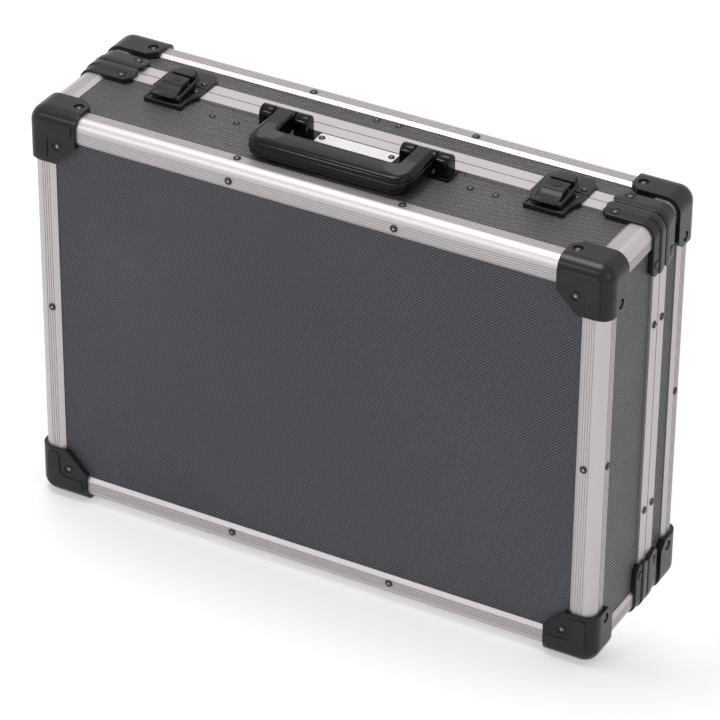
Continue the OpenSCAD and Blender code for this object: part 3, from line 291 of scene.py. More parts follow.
def joinedMesh(name, meshes):
    bm = bmesh.new()
    for mesh in meshes:
        bm.from_mesh(mesh)
    joined = bpy.data.meshes.new(name)
    bm.to_mesh(joined)
    bm.free()
    return joined


# Joins meshes into the piece that replaces a node, sharp where its faces meet at more than the angle
# Each mesh comes with its material's index, or None where it has indices of its own
def piece(node, parts, body, materials, angle):
    words = node.split("_")
    name = words[0] + "".join(word.capitalize() for word in words[1:])
    for mesh, index in parts:
        if index is not None:
            for polygon in mesh.polygons:
                polygon.material_index = index
    joined = joinedMesh(name, [mesh for mesh, _ in parts])
    for mesh, _ in parts:
        if mesh.users == 0:
            bpy.data.meshes.remove(mesh)
    for material in materials:
        joined.materials.append(material)
    for polygon in joined.polygons:
        polygon.use_smooth = True
    joined.set_sharp_from_angle(angle=math.radians(angle))
    joined.update()
    holder = linked(name, joined)
    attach(holder, body)
    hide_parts(node)
    return holder


def mirrored(mesh, axis, about=0.0):
    copy = mesh.copy()
    scale, move = [1, 1, 1], [0, 0, 0]
    scale[axis], move[axis] = -1, 2 * about / 1000
    copy.transform(Matrix.Translation(move) @ Matrix.Diagonal((*scale, 1)))
    copy.flip_normals()
    return copy


# A mesh and its mirror image on the case's other side, with their material's index
def pair(mesh, index=0):
    return [(mirrored(mesh, 0), index), (mesh, index)]


# Node tree with a few short ways to add to it
class Tree:
    def __init__(self, tree):
        self.tree = tree

    # Adds a node, its settings by name and its inputs by name or number
    def node(self, kind, inputs, **settings):
        node = self.tree.nodes.new(kind)
        for name, value in settings.items():
            setattr(node, name, value)
        for name, value in inputs.items():
            self.put(node.inputs[name], value)
        return node

    def put(self, socket, value):
        if isinstance(value, bpy.types.NodeSocket):
            self.tree.links.new(value, socket)
        else:
            socket.default_value = value

    def math(self, kind, *values):
        return self.node("ShaderNodeMath", dict(enumerate(values)), operation=kind).outputs[0]

    def vector(self, kind, *values):
        node = self.node("ShaderNodeVectorMath", dict(enumerate(values)), operation=kind)
        return node.outputs["Value" if kind == "LENGTH" else "Vector"]

    def span(self, value, low, high):
        return self.node("ShaderNodeMapRange", {"Value": value, "To Min": low, "To Max": high}).outputs[0]

    # 0 below the low end, 1 above the high one
    def fade(self, value, low, high):
        return self.node("ShaderNodeMapRange", {"Value": value, "From Min": low, "From Max": high},
                         interpolation_type="SMOOTHSTEP").outputs[0]

    def mixShaders(self, share, first, second):
        return self.node("ShaderNodeMixShader", {0: share, 1: first, 2: second}).outputs[0]

    # 1 for the rays that show the white surroundings: the camera's own, mirrored ones and those through glass
    def seenRays(self):
        rays = self.node("ShaderNodeLightPath", {}).outputs
        seen = self.math("MAXIMUM", rays["Is Camera Ray"], rays["Is Glossy Ray"])
        return self.math("MAXIMUM", seen, rays["Is Transmission Ray"])


# Material with its main shader and a few textures in the object's own coordinates
class Finish(Tree):
    def __init__(self, name):
        self.material = bpy.data.materials.new(name)
        self.material.use_nodes = True
        super().__init__(self.material.node_tree)
        self.shader = self.tree.nodes["Principled BSDF"]
        self.coord = self.node("ShaderNodeTexCoord", {}).outputs["Object"]

    def give(self, name, value):
        self.put(self.shader.inputs[name], value)

    def axes(self):
        return self.node("ShaderNodeSeparateXYZ", {0: self.coord}).outputs

    def stretch(self, scale):
        return self.node("ShaderNodeMapping", {"Vector": self.coord, "Scale": scale}).outputs[0]

    def noise(self, scale, detail=3.0, vector=None, rough=0.5):
        return self.node("ShaderNodeTexNoise", {"Vector": vector or self.coord, "Scale": scale,
                                                "Detail": detail, "Roughness": rough}).outputs[0]

    def ramp(self, value, low, high, lowColour, highColour):
        node = self.node("ShaderNodeValToRGB", {0: value})
        for element, position, colour in zip(node.color_ramp.elements, (low, high), (lowColour, highColour)):
            element.position = position
            element.color = (*colour, 1)
        return node.outputs[0]

    def bump(self, height, strength, distance):
        return self.node("ShaderNodeBump", {"Strength": strength, "Distance": distance,
                                            "Height": height}).outputs[0]

    # Painted shade: darkens a colour in narrow grooves and gaps, by a share of what they hide
    def shadeHollows(self, colour, reach, share):
        hidden = self.node("ShaderNodeAmbientOcclusion", {"Distance": reach / 1000}, samples=8).outputs["AO"]
        return self.node("ShaderNodeMixRGB", {0: share, 1: colour, 2: hidden},
                         blend_type="MULTIPLY").outputs[0]


def makeCamera():
    v = cameraValues
    az, el = v["azimuth"], v["elevation"]
    back = Vector((math.sin(az) * math.cos(el), -math.cos(az) * math.cos(el), math.sin(el)))
    right = Vector((math.cos(az), math.sin(az), 0))
    up = back.cross(right)
    c, s = math.cos(v["roll"]), math.sin(v["roll"])
    turnedRight = right * c + up * s
    turnedUp = up * c - right * s
    camera = bpy.data.cameras.new("camera")
    camera.sensor_width = 36
    camera.lens = v["lens"]
    camera.clip_start = 0.1
    camera.clip_end = 100
    holder = linked("camera", camera)
    spot = Vector(v["centre"]) + back * v["distance"] + turnedRight * v["slide"][0] + turnedUp * v["slide"][1]
    turn = Matrix((turnedRight, turnedUp, back)).transposed().to_4x4()
    holder.matrix_world = Matrix.Translation(spot) @ turn
    bpy.context.scene.camera = holder
    bpy.context.scene.view_settings.view_transform = "Standard"


def makeWorld():
    world = bpy.data.worlds.new("studio")
    bpy.context.scene.world = world
    world.use_nodes = True
    t = Tree(world.node_tree)
    t.tree.nodes.clear()
    plain, white = [t.node("ShaderNodeBackground", {0: (1, 1, 1, 1), 1: lightValues[name]}).outputs[0]
                    for name in ("world", "seen")]
    t.node("ShaderNodeOutputWorld", {0: t.mixShaders(t.seenRays(), plain, white)})


# Pale floor that turns into the white of the background away from the object
# It is left open behind the hinges, where the lid swings down below it
def makeFloor():
    size = lightValues["floorSize"]
    corners = [(-size, -size, 0), (size, -size, 0), (size, size, 0), (-size, size, 0)]
    floor = linked("floor", makeMesh("floor", corners, [(0, 1, 2, 3)]))
    floor.location.z = -lightValues["floorDrop"]
    t = Finish("floor")
    t.give("Base Color", (0.93, 0.93, 0.93, 1))
    t.give("Roughness", 0.9)
    t.give("Emission Color", (1, 1, 1, 1))
    t.give("Emission Strength", t.math("MULTIPLY", t.seenRays(), lightValues["floor"]))
    far = t.math("MULTIPLY", t.fade(t.vector("LENGTH", t.coord), *lightValues["fade"]), t.seenRays())
    white = t.node("ShaderNodeEmission", {"Color": (1, 1, 1, 1), "Strength": lightValues["seen"]}).outputs[0]
    whitened = t.mixShaders(far, t.shader.outputs[0], white)

    v = pitValues
    near = seamY / 1000 - v["ahead"]
    rear = (seamY + topZ) / 1000 + v["past"]
    fromMiddle = t.vector("ABSOLUTE", t.vector("SUBTRACT", t.coord, (0, (near + rear) / 2, 0)))
    over = t.vector("SUBTRACT", fromMiddle, (caseHalf / 1000 + v["aside"], (rear - near) / 2, 1))
    outside = t.vector("LENGTH", t.vector("MAXIMUM", over, (0, 0, 0)))
    clear = t.node("ShaderNodeBsdfTransparent", {}).outputs[0]
    surface = t.mixShaders(t.fade(outside, 0.0, v["fade"]), clear, whitened)
    t.put(t.tree.nodes["Material Output"].inputs["Surface"], surface)
    floor.data.materials.append(t.material)


def makeLamps():
    for name, (place, size, power) in lightValues["lamps"].items():
        lamp = bpy.data.lights.new(name, "AREA")
        lamp.shape = "RECTANGLE"
        lamp.size, lamp.size_y = size
        lamp.energy = power
        light = linked(name, lamp)
        light.location = place
        aim = Vector(lightValues["aim"]) - Vector(place)
        light.rotation_euler = aim.to_track_quat("-Z", "Y").to_euler()


def shade(value, factor):
    return tuple(min(1.0, c * factor) for c in value)


# Laminate pressed with small diamonds, for walls that hold the first and second axis, with painted shade in
# the diamonds' grooves and a painted highlight on their crowns
def laminateMaterial(name, first, second, wall):
    v = laminateValues
    w = v[wall]
    t = Finish(name)
    axes = t.axes()
    along = t.math("MULTIPLY", axes[first], 1000 / w["pitch"][0])
    across = t.math("MULTIPLY", axes[second], 1000 / w["pitch"][1])
    hills = [t.math("PINGPONG", t.math(kind, along, across), 0.5) for kind in ("ADD", "SUBTRACT")]
    height = t.math("MULTIPLY", t.math("MINIMUM", hills[0], hills[1]), 2.0)
    wide = t.noise(6.0, 2.0)
    fine = t.noise(900.0, 2.0)
    tone = t.math("ADD", height, t.math("MULTIPLY", t.math("SUBTRACT", fine, 0.5), 0.35))
    tone = t.math("ADD", tone, t.math("MULTIPLY", t.math("SUBTRACT", wide, 0.5), 0.22))
    # Painted shade in the grooves and painted highlight on the crowns, in this wall's lit tones
    dark, pale = shade(w["tint"], w["groove"]), shade(w["tint"], w["crown"])
    t.give("Base Color", t.ramp(tone, *w["tones"], dark, pale))
    t.give("Specular IOR Level", v["shine"])
    t.give("Roughness", t.span(fine, v["rough"] - 0.06, v["rough"] + 0.08))
    t.give("Normal", t.bump(height, v["bump"], 0.0004))
    return t.material


# Extruded aluminium, with fine draw lines along one axis if it is given, and painted shade in its grooves
def profileMaterial(name, along):
    v = profileValues
    t = Finish(name)
    scale = [420.0, 420.0, 420.0]
    if along is not None:
        scale[along] = 1.6
    lines = t.noise(1.0, 2.0, t.stretch(scale), 0.5)
    cloud = t.noise(9.0, 2.0)
    tone = t.math("ADD", t.math("MULTIPLY", lines, 0.75), t.math("MULTIPLY", cloud, 0.25))
    dark, pale = shade(v["colour"], 1 - v["streak"]), shade(v["colour"], 1 + v["streak"])
    colour = t.ramp(tone, 0.25, 0.75, dark, pale)
    # Painted shade in the profiles' grooves and gaps
    t.give("Base Color", t.shadeHollows(colour, v["shadeReach"], v["shade"]))
    t.give("Metallic", v["metallic"])
    t.give("Roughness", t.span(lines, v["rough"] - 0.02, v["rough"] + 0.03))
    t.give("Normal", t.bump(lines, 0.02, 0.0002))
    return t.material


# Moulded plastic with a fine spark texture, slightly paler on its outer edges and darker in its creases
def plasticMaterial(name, colour, rough, shine, grain=1500.0, strength=0.25):
    v = plasticValues
    t = Finish(name)
    t.give("Specular IOR Level", shine)
    fine = t.noise(grain, 2.0)
    cloud = t.noise(35.0, 3.0)
    edge = t.node("ShaderNodeNewGeometry", {}).outputs["Pointiness"]
    # Tone follows the surface's sharpness: paler on outer edges, darker in creases
    tone = t.math("ADD", cloud, t.math("MULTIPLY", t.math("SUBTRACT", edge, 0.5), v["edge"]))
    dark, pale = [shade(colour, factor) for factor in v["tones"]]
    t.give("Base Color", t.ramp(tone, 0.3, 0.95, dark, pale))
    t.give("Roughness", t.span(fine, rough + v["rough"][0], rough + v["rough"][1]))
    t.give("Normal", t.bump(fine, strength, 0.00015))
    return t.material


# Lacquered or plated metal with faint brushing and scuffs
def metalMaterial(name, colour, rough, metallic, grain, shine, spread):
    t = Finish(name)
    lines = t.noise(1.0, 3.0, t.stretch((grain, grain * 0.12, grain)), 0.6)
    scuffs = t.noise(70.0, 5.0, rough=0.7)
    t.give("Base Color", t.ramp(scuffs, 0.3, 0.75, shade(colour, 1 - spread), shade(colour, 1 + spread)))
    t.give("Metallic", metallic)
    worn = t.math("ADD", lines, t.math("MULTIPLY", scuffs, 0.5))
    t.give("Roughness", t.span(worn, rough - 0.08, rough + 0.10))
    t.give("Specular IOR Level", shine)
    t.give("Normal", t.bump(lines, 0.08, 0.0002))
    return t.material


def foamMaterial(name):
    v = foamValues
    t = Finish(name)
    cells = t.node("ShaderNodeTexVoronoi", {"Vector": t.coord, "Scale": 620.0}).outputs["Distance"]
    tone = t.math("ADD", t.math("MULTIPLY", cells, 0.7), t.math("MULTIPLY", t.noise(24.0, 3.0), 0.5))
    t.give("Base Color", t.ramp(tone, 0.2, 0.9, shade(v["colour"], 0.5), shade(v["colour"], 1.7)))
    t.give("Roughness", 0.95)
    t.give("Sheen Weight", 0.3)
    t.give("Normal", t.bump(cells, 0.8, 0.0008))
    return t.material


makeCamera()
makeWorld()
makeFloor()
makeLamps()
# Three copies of one laminate, each toned for how brightly its wall is lit: painted light and shade
frontLaminate = laminateMaterial("laminateFront", 0, 2, "front")
topLaminate = laminateMaterial("laminateTop", 0, 1, "top")
sideLaminate = laminateMaterial("laminateSide", 1, 2, "side")
longProfile = profileMaterial("profileAlongLength", 0)
deepProfile = profileMaterial("profileAlongDepth", 1)
highProfile = profileMaterial("profileAlongHeight", 2)
seamProfile = profileMaterial("profileRoundSeam", None)
guardPlastic, strapPlastic = [plasticMaterial(name, v["colour"], v["rough"], v["shine"])
                              for name, v in (("guardPlastic", guardValues), ("strapPlastic", strapValues))]
guardPad = plasticMaterial("guardPad", shade(guardValues["colour"], guardValues["padTint"]),
                           guardValues["padRough"], guardValues["shine"])
handleSatin, handleTop, handleGloss = [
    plasticMaterial("handle" + finish.capitalize(), shade(handleValues["colour"], tint), *rest)
    for finish, (tint, *rest) in ((name, handleValues[name]) for name in ("satin", "top", "gloss"))]
latchLacquer = metalMaterial("latchLacquer", *[latchValues[name] for name in (
    "colour", "rough", "metallic", "grain", "shine", "spread")])
pinSteel, rivetMetal, zincSteel, lockMetal, plateMetal = [
    metalMaterial(name, *values) for name, values in metalValues.items()]
foamFabric = foamMaterial("foamFabric")
print("stage and materials made")


# Runs a mesh through modifiers and gives back the plain result
def finished(mesh, cutters=(), thickness=0.0, bevel=0.0):
    carrier = linked("carrier", mesh)
    tools = [linked("cutter", cutter) for cutter in cutters]
    if thickness:
        shell = carrier.modifiers.new("shell", "SOLIDIFY")
        shell.thickness = thickness / 1000
        shell.offset = -1
        shell.use_even_offset = True
    for tool in tools:
        cut = carrier.modifiers.new("cut", "BOOLEAN")
        cut.operation = "DIFFERENCE"
        cut.solver = "EXACT"
        cut.object = tool
    if bevel:
        soften(carrier, bevel, 3, 42)
    result = takenFrom(carrier)
    for tool in tools:
        bpy.data.objects.remove(tool)
    return result


def cylinderMesh(name, centre, direction, radius, length, steps=32):
    way = Vector(direction).normalized()
    side = way.orthogonal().normalized()
    other = way.cross(side)
    rings = []
    for end in (0, length):
        foot = Vector(centre) + way * end
        rings.append([tuple(foot + side * x + other * y) for x, y in circleOutline(0, 0, radius, steps)])
    return skin(name, rings)


# Cuts away what lies in front of a plane, given in millimetres
def trimmed(mesh, point, normal, fill):
    bm = bmesh.new()
    bm.from_mesh(mesh)
    place = Vector(point) / 1000
    geometry = bm.verts[:] + bm.edges[:] + bm.faces[:]
    cut = bmesh.ops.bisect_plane(bm, geom=geometry, plane_co=place, plane_no=Vector(normal), dist=1e-7,
                                 clear_outer=True)
    if fill:
        edges = [e for e in cut["geom_cut"] if isinstance(e, bmesh.types.BMEdge)]
        bmesh.ops.contextual_create(bm, geom=edges)
    bm.to_mesh(mesh)
    bm.free()


# Steps over a rounded edge and then along a flap
def flapSteps(reach, edge, thick, cell):
    radius = edge + thick
    turn = [math.pi / 4 * (1 - i / 7) for i in range(8)]
    steps = [edge - radius * math.tan(a) for a in turn]
    count = max(2, round((reach - edge) / cell))
    return steps + [edge + (reach - edge) * (i + 1) / count for i in range(count)]


def smoothStep(value, low, high):
    t = min(1.0, max(0.0, (value - low) / (high - low)))
    return t * t * (3 - 2 * t)


# Rounded corner cap in the corner's own axes, which run along the length, the depth and the height
def guardShell():
    v = guardValues
    edge, thick = v["edge"], v["thick"]
    longSteps = flapSteps(v["reach"], edge, thick, v["cell"])
    deepSteps = flapSteps(v["depth"], edge, thick, v["cell"])
    points, faces = [], []

    def place(a, b, c, lowered):
        core = Vector((max(a, edge), max(b, edge), max(c, edge)))
        way = Vector((a, b, c)) - core
        way.normalize()
        spot = core + way * (edge + thick)
        if lowered:
            spot.y += v["pad"] * smoothStep(-way.y, *v["padTurn"])
        return spot

    for first, second, kind in ((longSteps, longSteps, "front"), (longSteps, deepSteps, "top"),
                                (deepSteps, longSteps, "side")):
        start = len(points)
        for p in first:
            for q in second:
                spot = {"front": (p, -thick, q), "top": (p, q, -thick), "side": (-thick, p, q)}[kind]
                points.append(tuple(place(*spot, kind == "front")))
        width = len(second)
        for i in range(len(first) - 1):
            for j in range(width - 1):
                a = start + i * width + j
                faces.append((a, a + 1, a + width + 1, a + width))
    mesh = makeMesh("guardShell", points, faces)
    fixNormals(mesh)
    # Chamfers of the front, top and side flap
    big, small = v["cut"], v["sideCut"]
    reach, depth = v["reach"], v["depth"]
    for spot, normal in (((reach, 0, reach - big), (1, 0, 1)), ((reach, depth - small, 0), (1, 1, 0)),
                         ((0, depth - small, reach), (0, 1, 1))):
        trimmed(mesh, spot, normal, False)
    return mesh


# Places a mesh drawn in a corner's own axes at the case's top +X corner, its depth forwards or backwards
def atCorner(mesh, edgeY, way):
    mesh.transform(Matrix(((-1, 0, 0, caseHalf / 1000), (0, way, 0, edgeY / 1000),
                           (0, 0, -1, topZ / 1000), (0, 0, 0, 1))))
    return mesh


# Seat of a rivet, sunk along one of the corner's axes
def dimple(v, spot, axis):
    centre, way = list(spot), [0, 0, 0]
    centre[axis], way[axis] = -v["seat"], -1
    return cylinderMesh("dimple", centre, way, v["dimpleR"], v["dimpleDeep"])


def toFourCorners(mesh, index=0):
    return pair(mesh, index) + pair(mirrored(mesh, 2, midZ), index)


def cornerGuards():
    v = guardValues
    cutters = [dimple(v, (v["rivet"], 0, v["rivet"]), 1), dimple(v, (v["rivetLong"], v["rivetDeep"], 0), 2),
               dimple(v, (0, v["rivetDeep"], v["rivetLong"]), 0)]
    body = finished(guardShell(), cutters, v["thick"] + v["sink"], 0.5)
    near, far, arm = v["padStart"], v["reach"] - v["padEnd"], v["padStart"] + v["padArm"]
    outline = roundedOutline([(near, near, 4.0), (far, near, 2.6), (far, arm, 3.0), (arm, arm, 6.0),
                              (arm, far, 3.0), (near, far, 2.6)], 8)
    pad = plateMesh("guardPad", outline, [], 0.0, v["thick"] - 0.3, 0.4)
    pad.transform(Matrix(((1, 0, 0, 0), (0, 0, -1, -0.0003), (0, 1, 0, 0), (0, 0, 0, 1))))
    parts = toFourCorners(atCorner(body, frontY, 1)) + toFourCorners(atCorner(pad, frontY, 1), 1)
    for side, onBody in (("front", "base"), ("rear", "lid")):
        placed = [(mirrored(mesh, 1) if side == "rear" else mesh.copy(), index) for mesh, index in parts]
        piece(side + "_corner_guards", placed, onBody, [guardPlastic, guardPad], 40)


# Strap round a corner of the seam, in the corner's own axes, where the second runs away from the seam
def strapBody():
    v = strapValues
    width, rib, thick, full, sink = v["width"], v["rib"], v["thick"], v["full"], v["sink"]
    section = roundedOutline([(0, -sink, 0), (0, full, 1.3), (rib, full, 0.8), (rib + 0.6, thick, 0.4),
                              (width, thick, 0.9), (width, -sink, 0)], 4)
    edge, reach = v["edge"], v["reach"]
    path = [((reach, 0), (0, 1))]
    path += [((edge + (reach - edge) * (1 - i / 10), 0), (0, 1)) for i in range(1, 10)]
    for i in range(13):
        a = math.pi / 2 * i / 12
        path.append(((edge - edge * math.sin(a), edge - edge * math.cos(a)), (math.sin(a), math.cos(a))))
    path += [((0, edge + (reach - edge) * i / 10), (1, 0)) for i in range(1, 11)]
    mesh = skin("strapBody", [[(u - outU * h, s, w - outW * h) for s, h in section]
                              for (u, w), (outU, outW) in path])
    outer, inner = reach - v["outerCut"], reach - v["innerCut"]
    for spot, normal in (((outer, width + 1, 0), (1, 1, 0)), ((inner, -1, 0), (1, -1, 0)),
                         ((0, width + 1, outer), (0, 1, 1)), ((0, -1, inner), (0, -1, 1))):
        trimmed(mesh, spot, normal, True)
    fixNormals(mesh)
    return mesh


def seamStraps():
    v = strapValues
    middle = v["width"] * v["rivetShare"]
    cutters = [dimple(v, (v["rivet"], middle, 0), 2), dimple(v, (0, middle, v["rivet"]), 0)]
    body = atCorner(finished(strapBody(), cutters, 0, 0.35), seamY - seamGap / 2, -1)
    body.flip_normals()
    for onBody in ("base", "lid"):
        placed = toFourCorners(mirrored(body, 1, seamY) if onBody == "lid" else body.copy())
        if onBody == "base":
            placed = placed[:2] + [(relieved(mesh), index) for mesh, index in placed[2:]]
        piece(onBody + "_seam_straps", placed, onBody, [strapPlastic], 40)


# Under the case the base's straps end short of the seam, where the lid's straps swing down
def relieved(mesh):
    bm = bmesh.new()
    bm.from_mesh(mesh)
    limit = (seamY - strapValues["relief"]) / 1000
    for vert in bm.verts:
        if vert.co.z < botZ / 1000 and vert.co.y > limit:
            vert.co.y = limit
    bmesh.ops.remove_doubles(bm, verts=bm.verts, dist=1e-7)
    bm.to_mesh(mesh)
    bm.free()
    return mesh


cornerGuards()
seamStraps()
print("guards and straps made")


# Where a node's rivets sit: middle of the head's foot, outward direction and head radius
def rivetSpots(node):
    bm = bmesh.new()
    bm.from_mesh(nodes[node].data)
    bmesh.ops.remove_doubles(bm, verts=bm.verts, dist=1e-6)
    seen = set()
    spots = []
    caseMiddle = Vector((0, 0, midZ))
    for first in bm.verts:
        if first in seen:
            continue
        seen.add(first)
        waiting, island = [first], []
        while waiting:
            vert = waiting.pop()
            island.append(vert.co * 1000)
            for edge in vert.link_edges:
                other = edge.other_vert(vert)
                if other not in seen:
                    seen.add(other)
                    waiting.append(other)
        low = Vector([min(p[i] for p in island) for i in range(3)])
        high = Vector([max(p[i] for p in island) for i in range(3)])
        span = high - low
        axis = max(range(3), key=lambda i: span[i])
        centre = (low + high) / 2
        way = Vector((0, 0, 0))
        way[axis] = 1 if centre[axis] > caseMiddle[axis] else -1
        centre[axis] = (high if way[axis] > 0 else low)[axis] - way[axis] * rivetValues["height"]
        spots.append((centre, way, min(span) / 2))
    bm.free()
    return spots


# Geometry Nodes group that sets a head and its stub on each point
def rivetTree():
    tree = bpy.data.node_groups.new("rivetHeads", "GeometryNodeTree")
    for name, kind, end in (("Geometry", "Geometry", "INPUT"), ("Head", "Object", "INPUT"),
                            ("Head Material", "Material", "INPUT"), ("Stub", "Object", "INPUT"),
                            ("Stub Material", "Material", "INPUT"), ("Geometry", "Geometry", "OUTPUT")):
        tree.interface.new_socket(name, in_out=end, socket_type="NodeSocket" + kind)
    t = Tree(tree)
    source = t.node("NodeGroupInput", {}).outputs
    way, size = [t.node("GeometryNodeInputNamedAttribute", {"Name": name},
                        data_type=kind).outputs["Attribute"]
                 for name, kind in (("way", "FLOAT_VECTOR"), ("size", "FLOAT"))]
    turn = t.node("FunctionNodeAlignRotationToVector", {"Vector": way}, axis="Z").outputs["Rotation"]
    join = t.node("GeometryNodeJoinGeometry", {})
    for part in ("Head", "Stub"):
        thing = t.node("GeometryNodeObjectInfo", {"Object": source[part]}).outputs["Geometry"]
        placed = t.node("GeometryNodeInstanceOnPoints", {"Points": source["Geometry"], "Instance": thing,
                                                         "Rotation": turn, "Scale": size})
        real = t.node("GeometryNodeRealizeInstances", {"Geometry": placed.outputs["Instances"]})
        coated = t.node("GeometryNodeSetMaterial", {"Geometry": real.outputs["Geometry"],
                                                    "Material": source[part + " Material"]})
        t.put(join.inputs["Geometry"], coated.outputs["Geometry"])
    t.node("NodeGroupOutput", {"Geometry": join.outputs["Geometry"]})
    return tree


# Turned solid of one millimetre radius, standing on the origin
def turnedObject(name, profile):
    return linked(name, skin(name, [[(x, y, z) for x, y in circleOutline(0, 0, r, rivetValues["steps"])]
                                    for r, z in profile]))


def rivets():
    tree = rivetTree()
    chosen = {"Head": turnedObject("rivetHead", rivetValues["head"]),
              "Stub": turnedObject("rivetStub", rivetValues["stub"]),
              "Head Material": rivetMetal, "Stub Material": pinSteel}
    sockets = {item.name: item.identifier for item in tree.interface.items_tree if item.in_out == "INPUT"}
    for node in [name for name in nodes if name.endswith("_rivets")]:
        spots = rivetSpots(node)
        mesh = makeMesh(node + "Spots", [centre for centre, way, radius in spots], [])
        ways = mesh.attributes.new("way", "FLOAT_VECTOR", "POINT")
        ways.data.foreach_set("vector", [c for centre, way, radius in spots for c in way])
        radii = mesh.attributes.new("size", "FLOAT", "POINT")
        radii.data.foreach_set("value", [radius for centre, way, radius in spots])
        carrier = linked("rivetCarrier", mesh)
        setter = carrier.modifiers.new("rivets", "NODES")
        setter.node_group = tree
        for name, value in chosen.items():
            setter[sockets[name]] = value
        result = takenFrom(carrier)
        dark = [material == rivetMetal for material in result.materials]
        for polygon in result.polygons:
            polygon.material_index = 0 if dark[polygon.material_index] else 1
        piece(node, [(result, None)], node.split("_")[0], [rivetMetal, pinSteel], 40)
    for thing in (chosen["Head"], chosen["Stub"]):
        bpy.data.objects.remove(thing)


rivets()
print("rivets made")


# Outline of the grip, drawn inset by d, in the plane of the case's top
def gripOutline(d, inner):
    v = handleValues
    out = v["length"] / 2 - d
    front = v["pivotY"] - v["reach"] + d
    barY = v["pivotY"] - v["reach"] + v["bar"] - inner
    armOut = v["armX"] + v["armW"] / 2 - d
    armIn = v["armX"] - v["armW"] / 2 + inner
    back = v["pivotY"] + v["earR"] - inner
    corners = bothSides([(armIn, barY, 4.0), (armIn, back, 0.8), (armOut, back, 0.8),
                         (armOut, v["pivotY"] - v["earR"], 8.0), (out, barY + 7, 9.0),
                         (out, front, v["corner"] - d)])
    return roundedOutline(corners[9:] + corners[:9], 8)


# How far a spot lies from the middle of a corner's oval facet, where 1 is its rim
def facetReach(x, y):
    v = handleValues
    along = (abs(x) - v["facetX"]) / v["facetA"]
    deep = (y - v["facetY"]) / v["facetB"]
    lean = math.radians(v["facetTurn"])
    c, s = math.cos(lean), math.sin(lean)
    return math.hypot(along * c - deep * s, along * s + deep * c)


# Height of the grip's top: a crowned bar, flat arms and an oval facet at each corner
def gripTop(x, y):
    v = handleValues
    top = v["bottom"] + v["thick"]
    front = v["pivotY"] - v["reach"]
    across = (y - front - v["bar"] / 2) / (v["bar"] / 2)
    bar = top - v["crown"] * min(1.0, across * across)
    arms = top - v["armDrop"]
    height = bar + (arms - bar) * smoothStep(y, front + v["bar"] - 4, front + v["bar"] + 3)
    facet = top - v["facetDeep"] - v["facetTilt"] * (abs(x) - v["facetX"] - y + v["facetY"]) / 2
    return facet + (height - facet) * smoothStep(facetReach(x, y), v["facetIn"], v["facetOut"])


# Skin over the top ring, with points inside that follow the height
def gripCap(ring, spacing):
    inside = []
    xs = [p[0] for p in ring]
    ys = [p[1] for p in ring]
    count = len(ring)

    def distance(x, y):
        best = 1e9
        crossed = False
        for i in range(count):
            (x0, y0), (x1, y1) = ring[i], ring[(i + 1) % count]
            span = (x1 - x0) ** 2 + (y1 - y0) ** 2
            t = 0 if span == 0 else max(0, min(1, ((x - x0) * (x1 - x0) + (y - y0) * (y1 - y0)) / span))
            best = min(best, math.hypot(x - x0 - t * (x1 - x0), y - y0 - t * (y1 - y0)))
            if (y0 > y) != (y1 > y) and x < x0 + (y - y0) / (y1 - y0) * (x1 - x0):
                crossed = not crossed
        return best if crossed else -best

    y = min(ys)
    while y < max(ys):
        x = min(xs)
        while x < max(xs):
            if distance(x, y) > spacing * 0.6:
                inside.append(Vector((x, y)))
            x += spacing
        y += spacing
    border = [Vector(p) for p in ring]
    edges = [(i, (i + 1) % count) for i in range(count)]
    # Rims of the two facets, kept free of other points
    v = handleValues
    low, high = v["facetClear"]
    inside = [p for p in inside if not low < facetReach(p.x, p.y) < high]
    lean = math.radians(v["facetTurn"])
    for side in (-1, 1):
        for share in (v["facetIn"], v["facetOut"]):
            last = False
            for p, q in arc(0, 0, share, 72, 0.0, 2 * math.pi):
                along, deep = p * math.cos(lean) + q * math.sin(lean), q * math.cos(lean) - p * math.sin(lean)
                x, y = side * (v["facetX"] + along * v["facetA"]), v["facetY"] + deep * v["facetB"]
                kept = distance(x, y) > v["rimClear"]
                if kept:
                    border.append(Vector((x, y)))
                    if last:
                        edges.append((len(border) - 2, len(border) - 1))
                last = kept
    points, _, faces, *_ = delaunay_2d_cdt(border + inside, edges, [], 1, 1e-6)
    return [(p.x, p.y, gripTop(p.x, p.y)) for p in points], [tuple(face) for face in faces]


def gripBody():
    v = handleValues
    low, top = v["bottom"], v["bottom"] + v["thick"]
    levels = [(low + rise, inset, inset) for rise, inset in v["lowerRim"]]
    levels += [(top + rise, outer, inner) for rise, outer, inner in v["crease"]]
    # Wide rounding along the outer rim and a narrow one inside
    for i in range(8):
        a = math.radians(12 * i)
        inset = 1 - math.cos(a)
        levels.append((top - v["roundFrom"] + v["roundTall"] * math.sin(a), 0.45 + v["rim"] * inset,
                       0.2 + v["roundIn"] * inset))
    rings = [[(x, y, z) for x, y in gripOutline(outer, inner)] for z, outer, inner in levels]
    last = gripOutline(0.9 + v["rim"], 2.2)
    rings.append([(x, y, gripTop(x, y)) for x, y in last])
    points, faces = loft(rings, False)
    faces.append(tuple(reversed(range(len(last)))))
    side = makeMesh("gripSide", points, faces)
    cap = makeMesh("gripCap", *gripCap(last, v["spacing"]))
    for polygon in cap.polygons:
        spot = polygon.center * 1000
        polygon.material_index = 1 if facetReach(spot.x, spot.y) < 1.0 else 2
    grip = joinedMesh("grip", (side, cap))
    fixNormals(grip)
    return grip


# Round ends of the arms at the pivot, with their bores left to the pins
def armEnds():
    v = handleValues
    outline = circleOutline(v["pivotY"], v["pivotZ"], v["earR"] - 0.05, 40)
    bore = circleOutline(v["pivotY"], v["pivotZ"], v["pinR"] + v["pinGap"], 24)
    return pair(upright(plateMesh("armEnd", outline, [bore], -v["armW"] / 2, v["armW"] / 2, 0.5), v["armX"]))


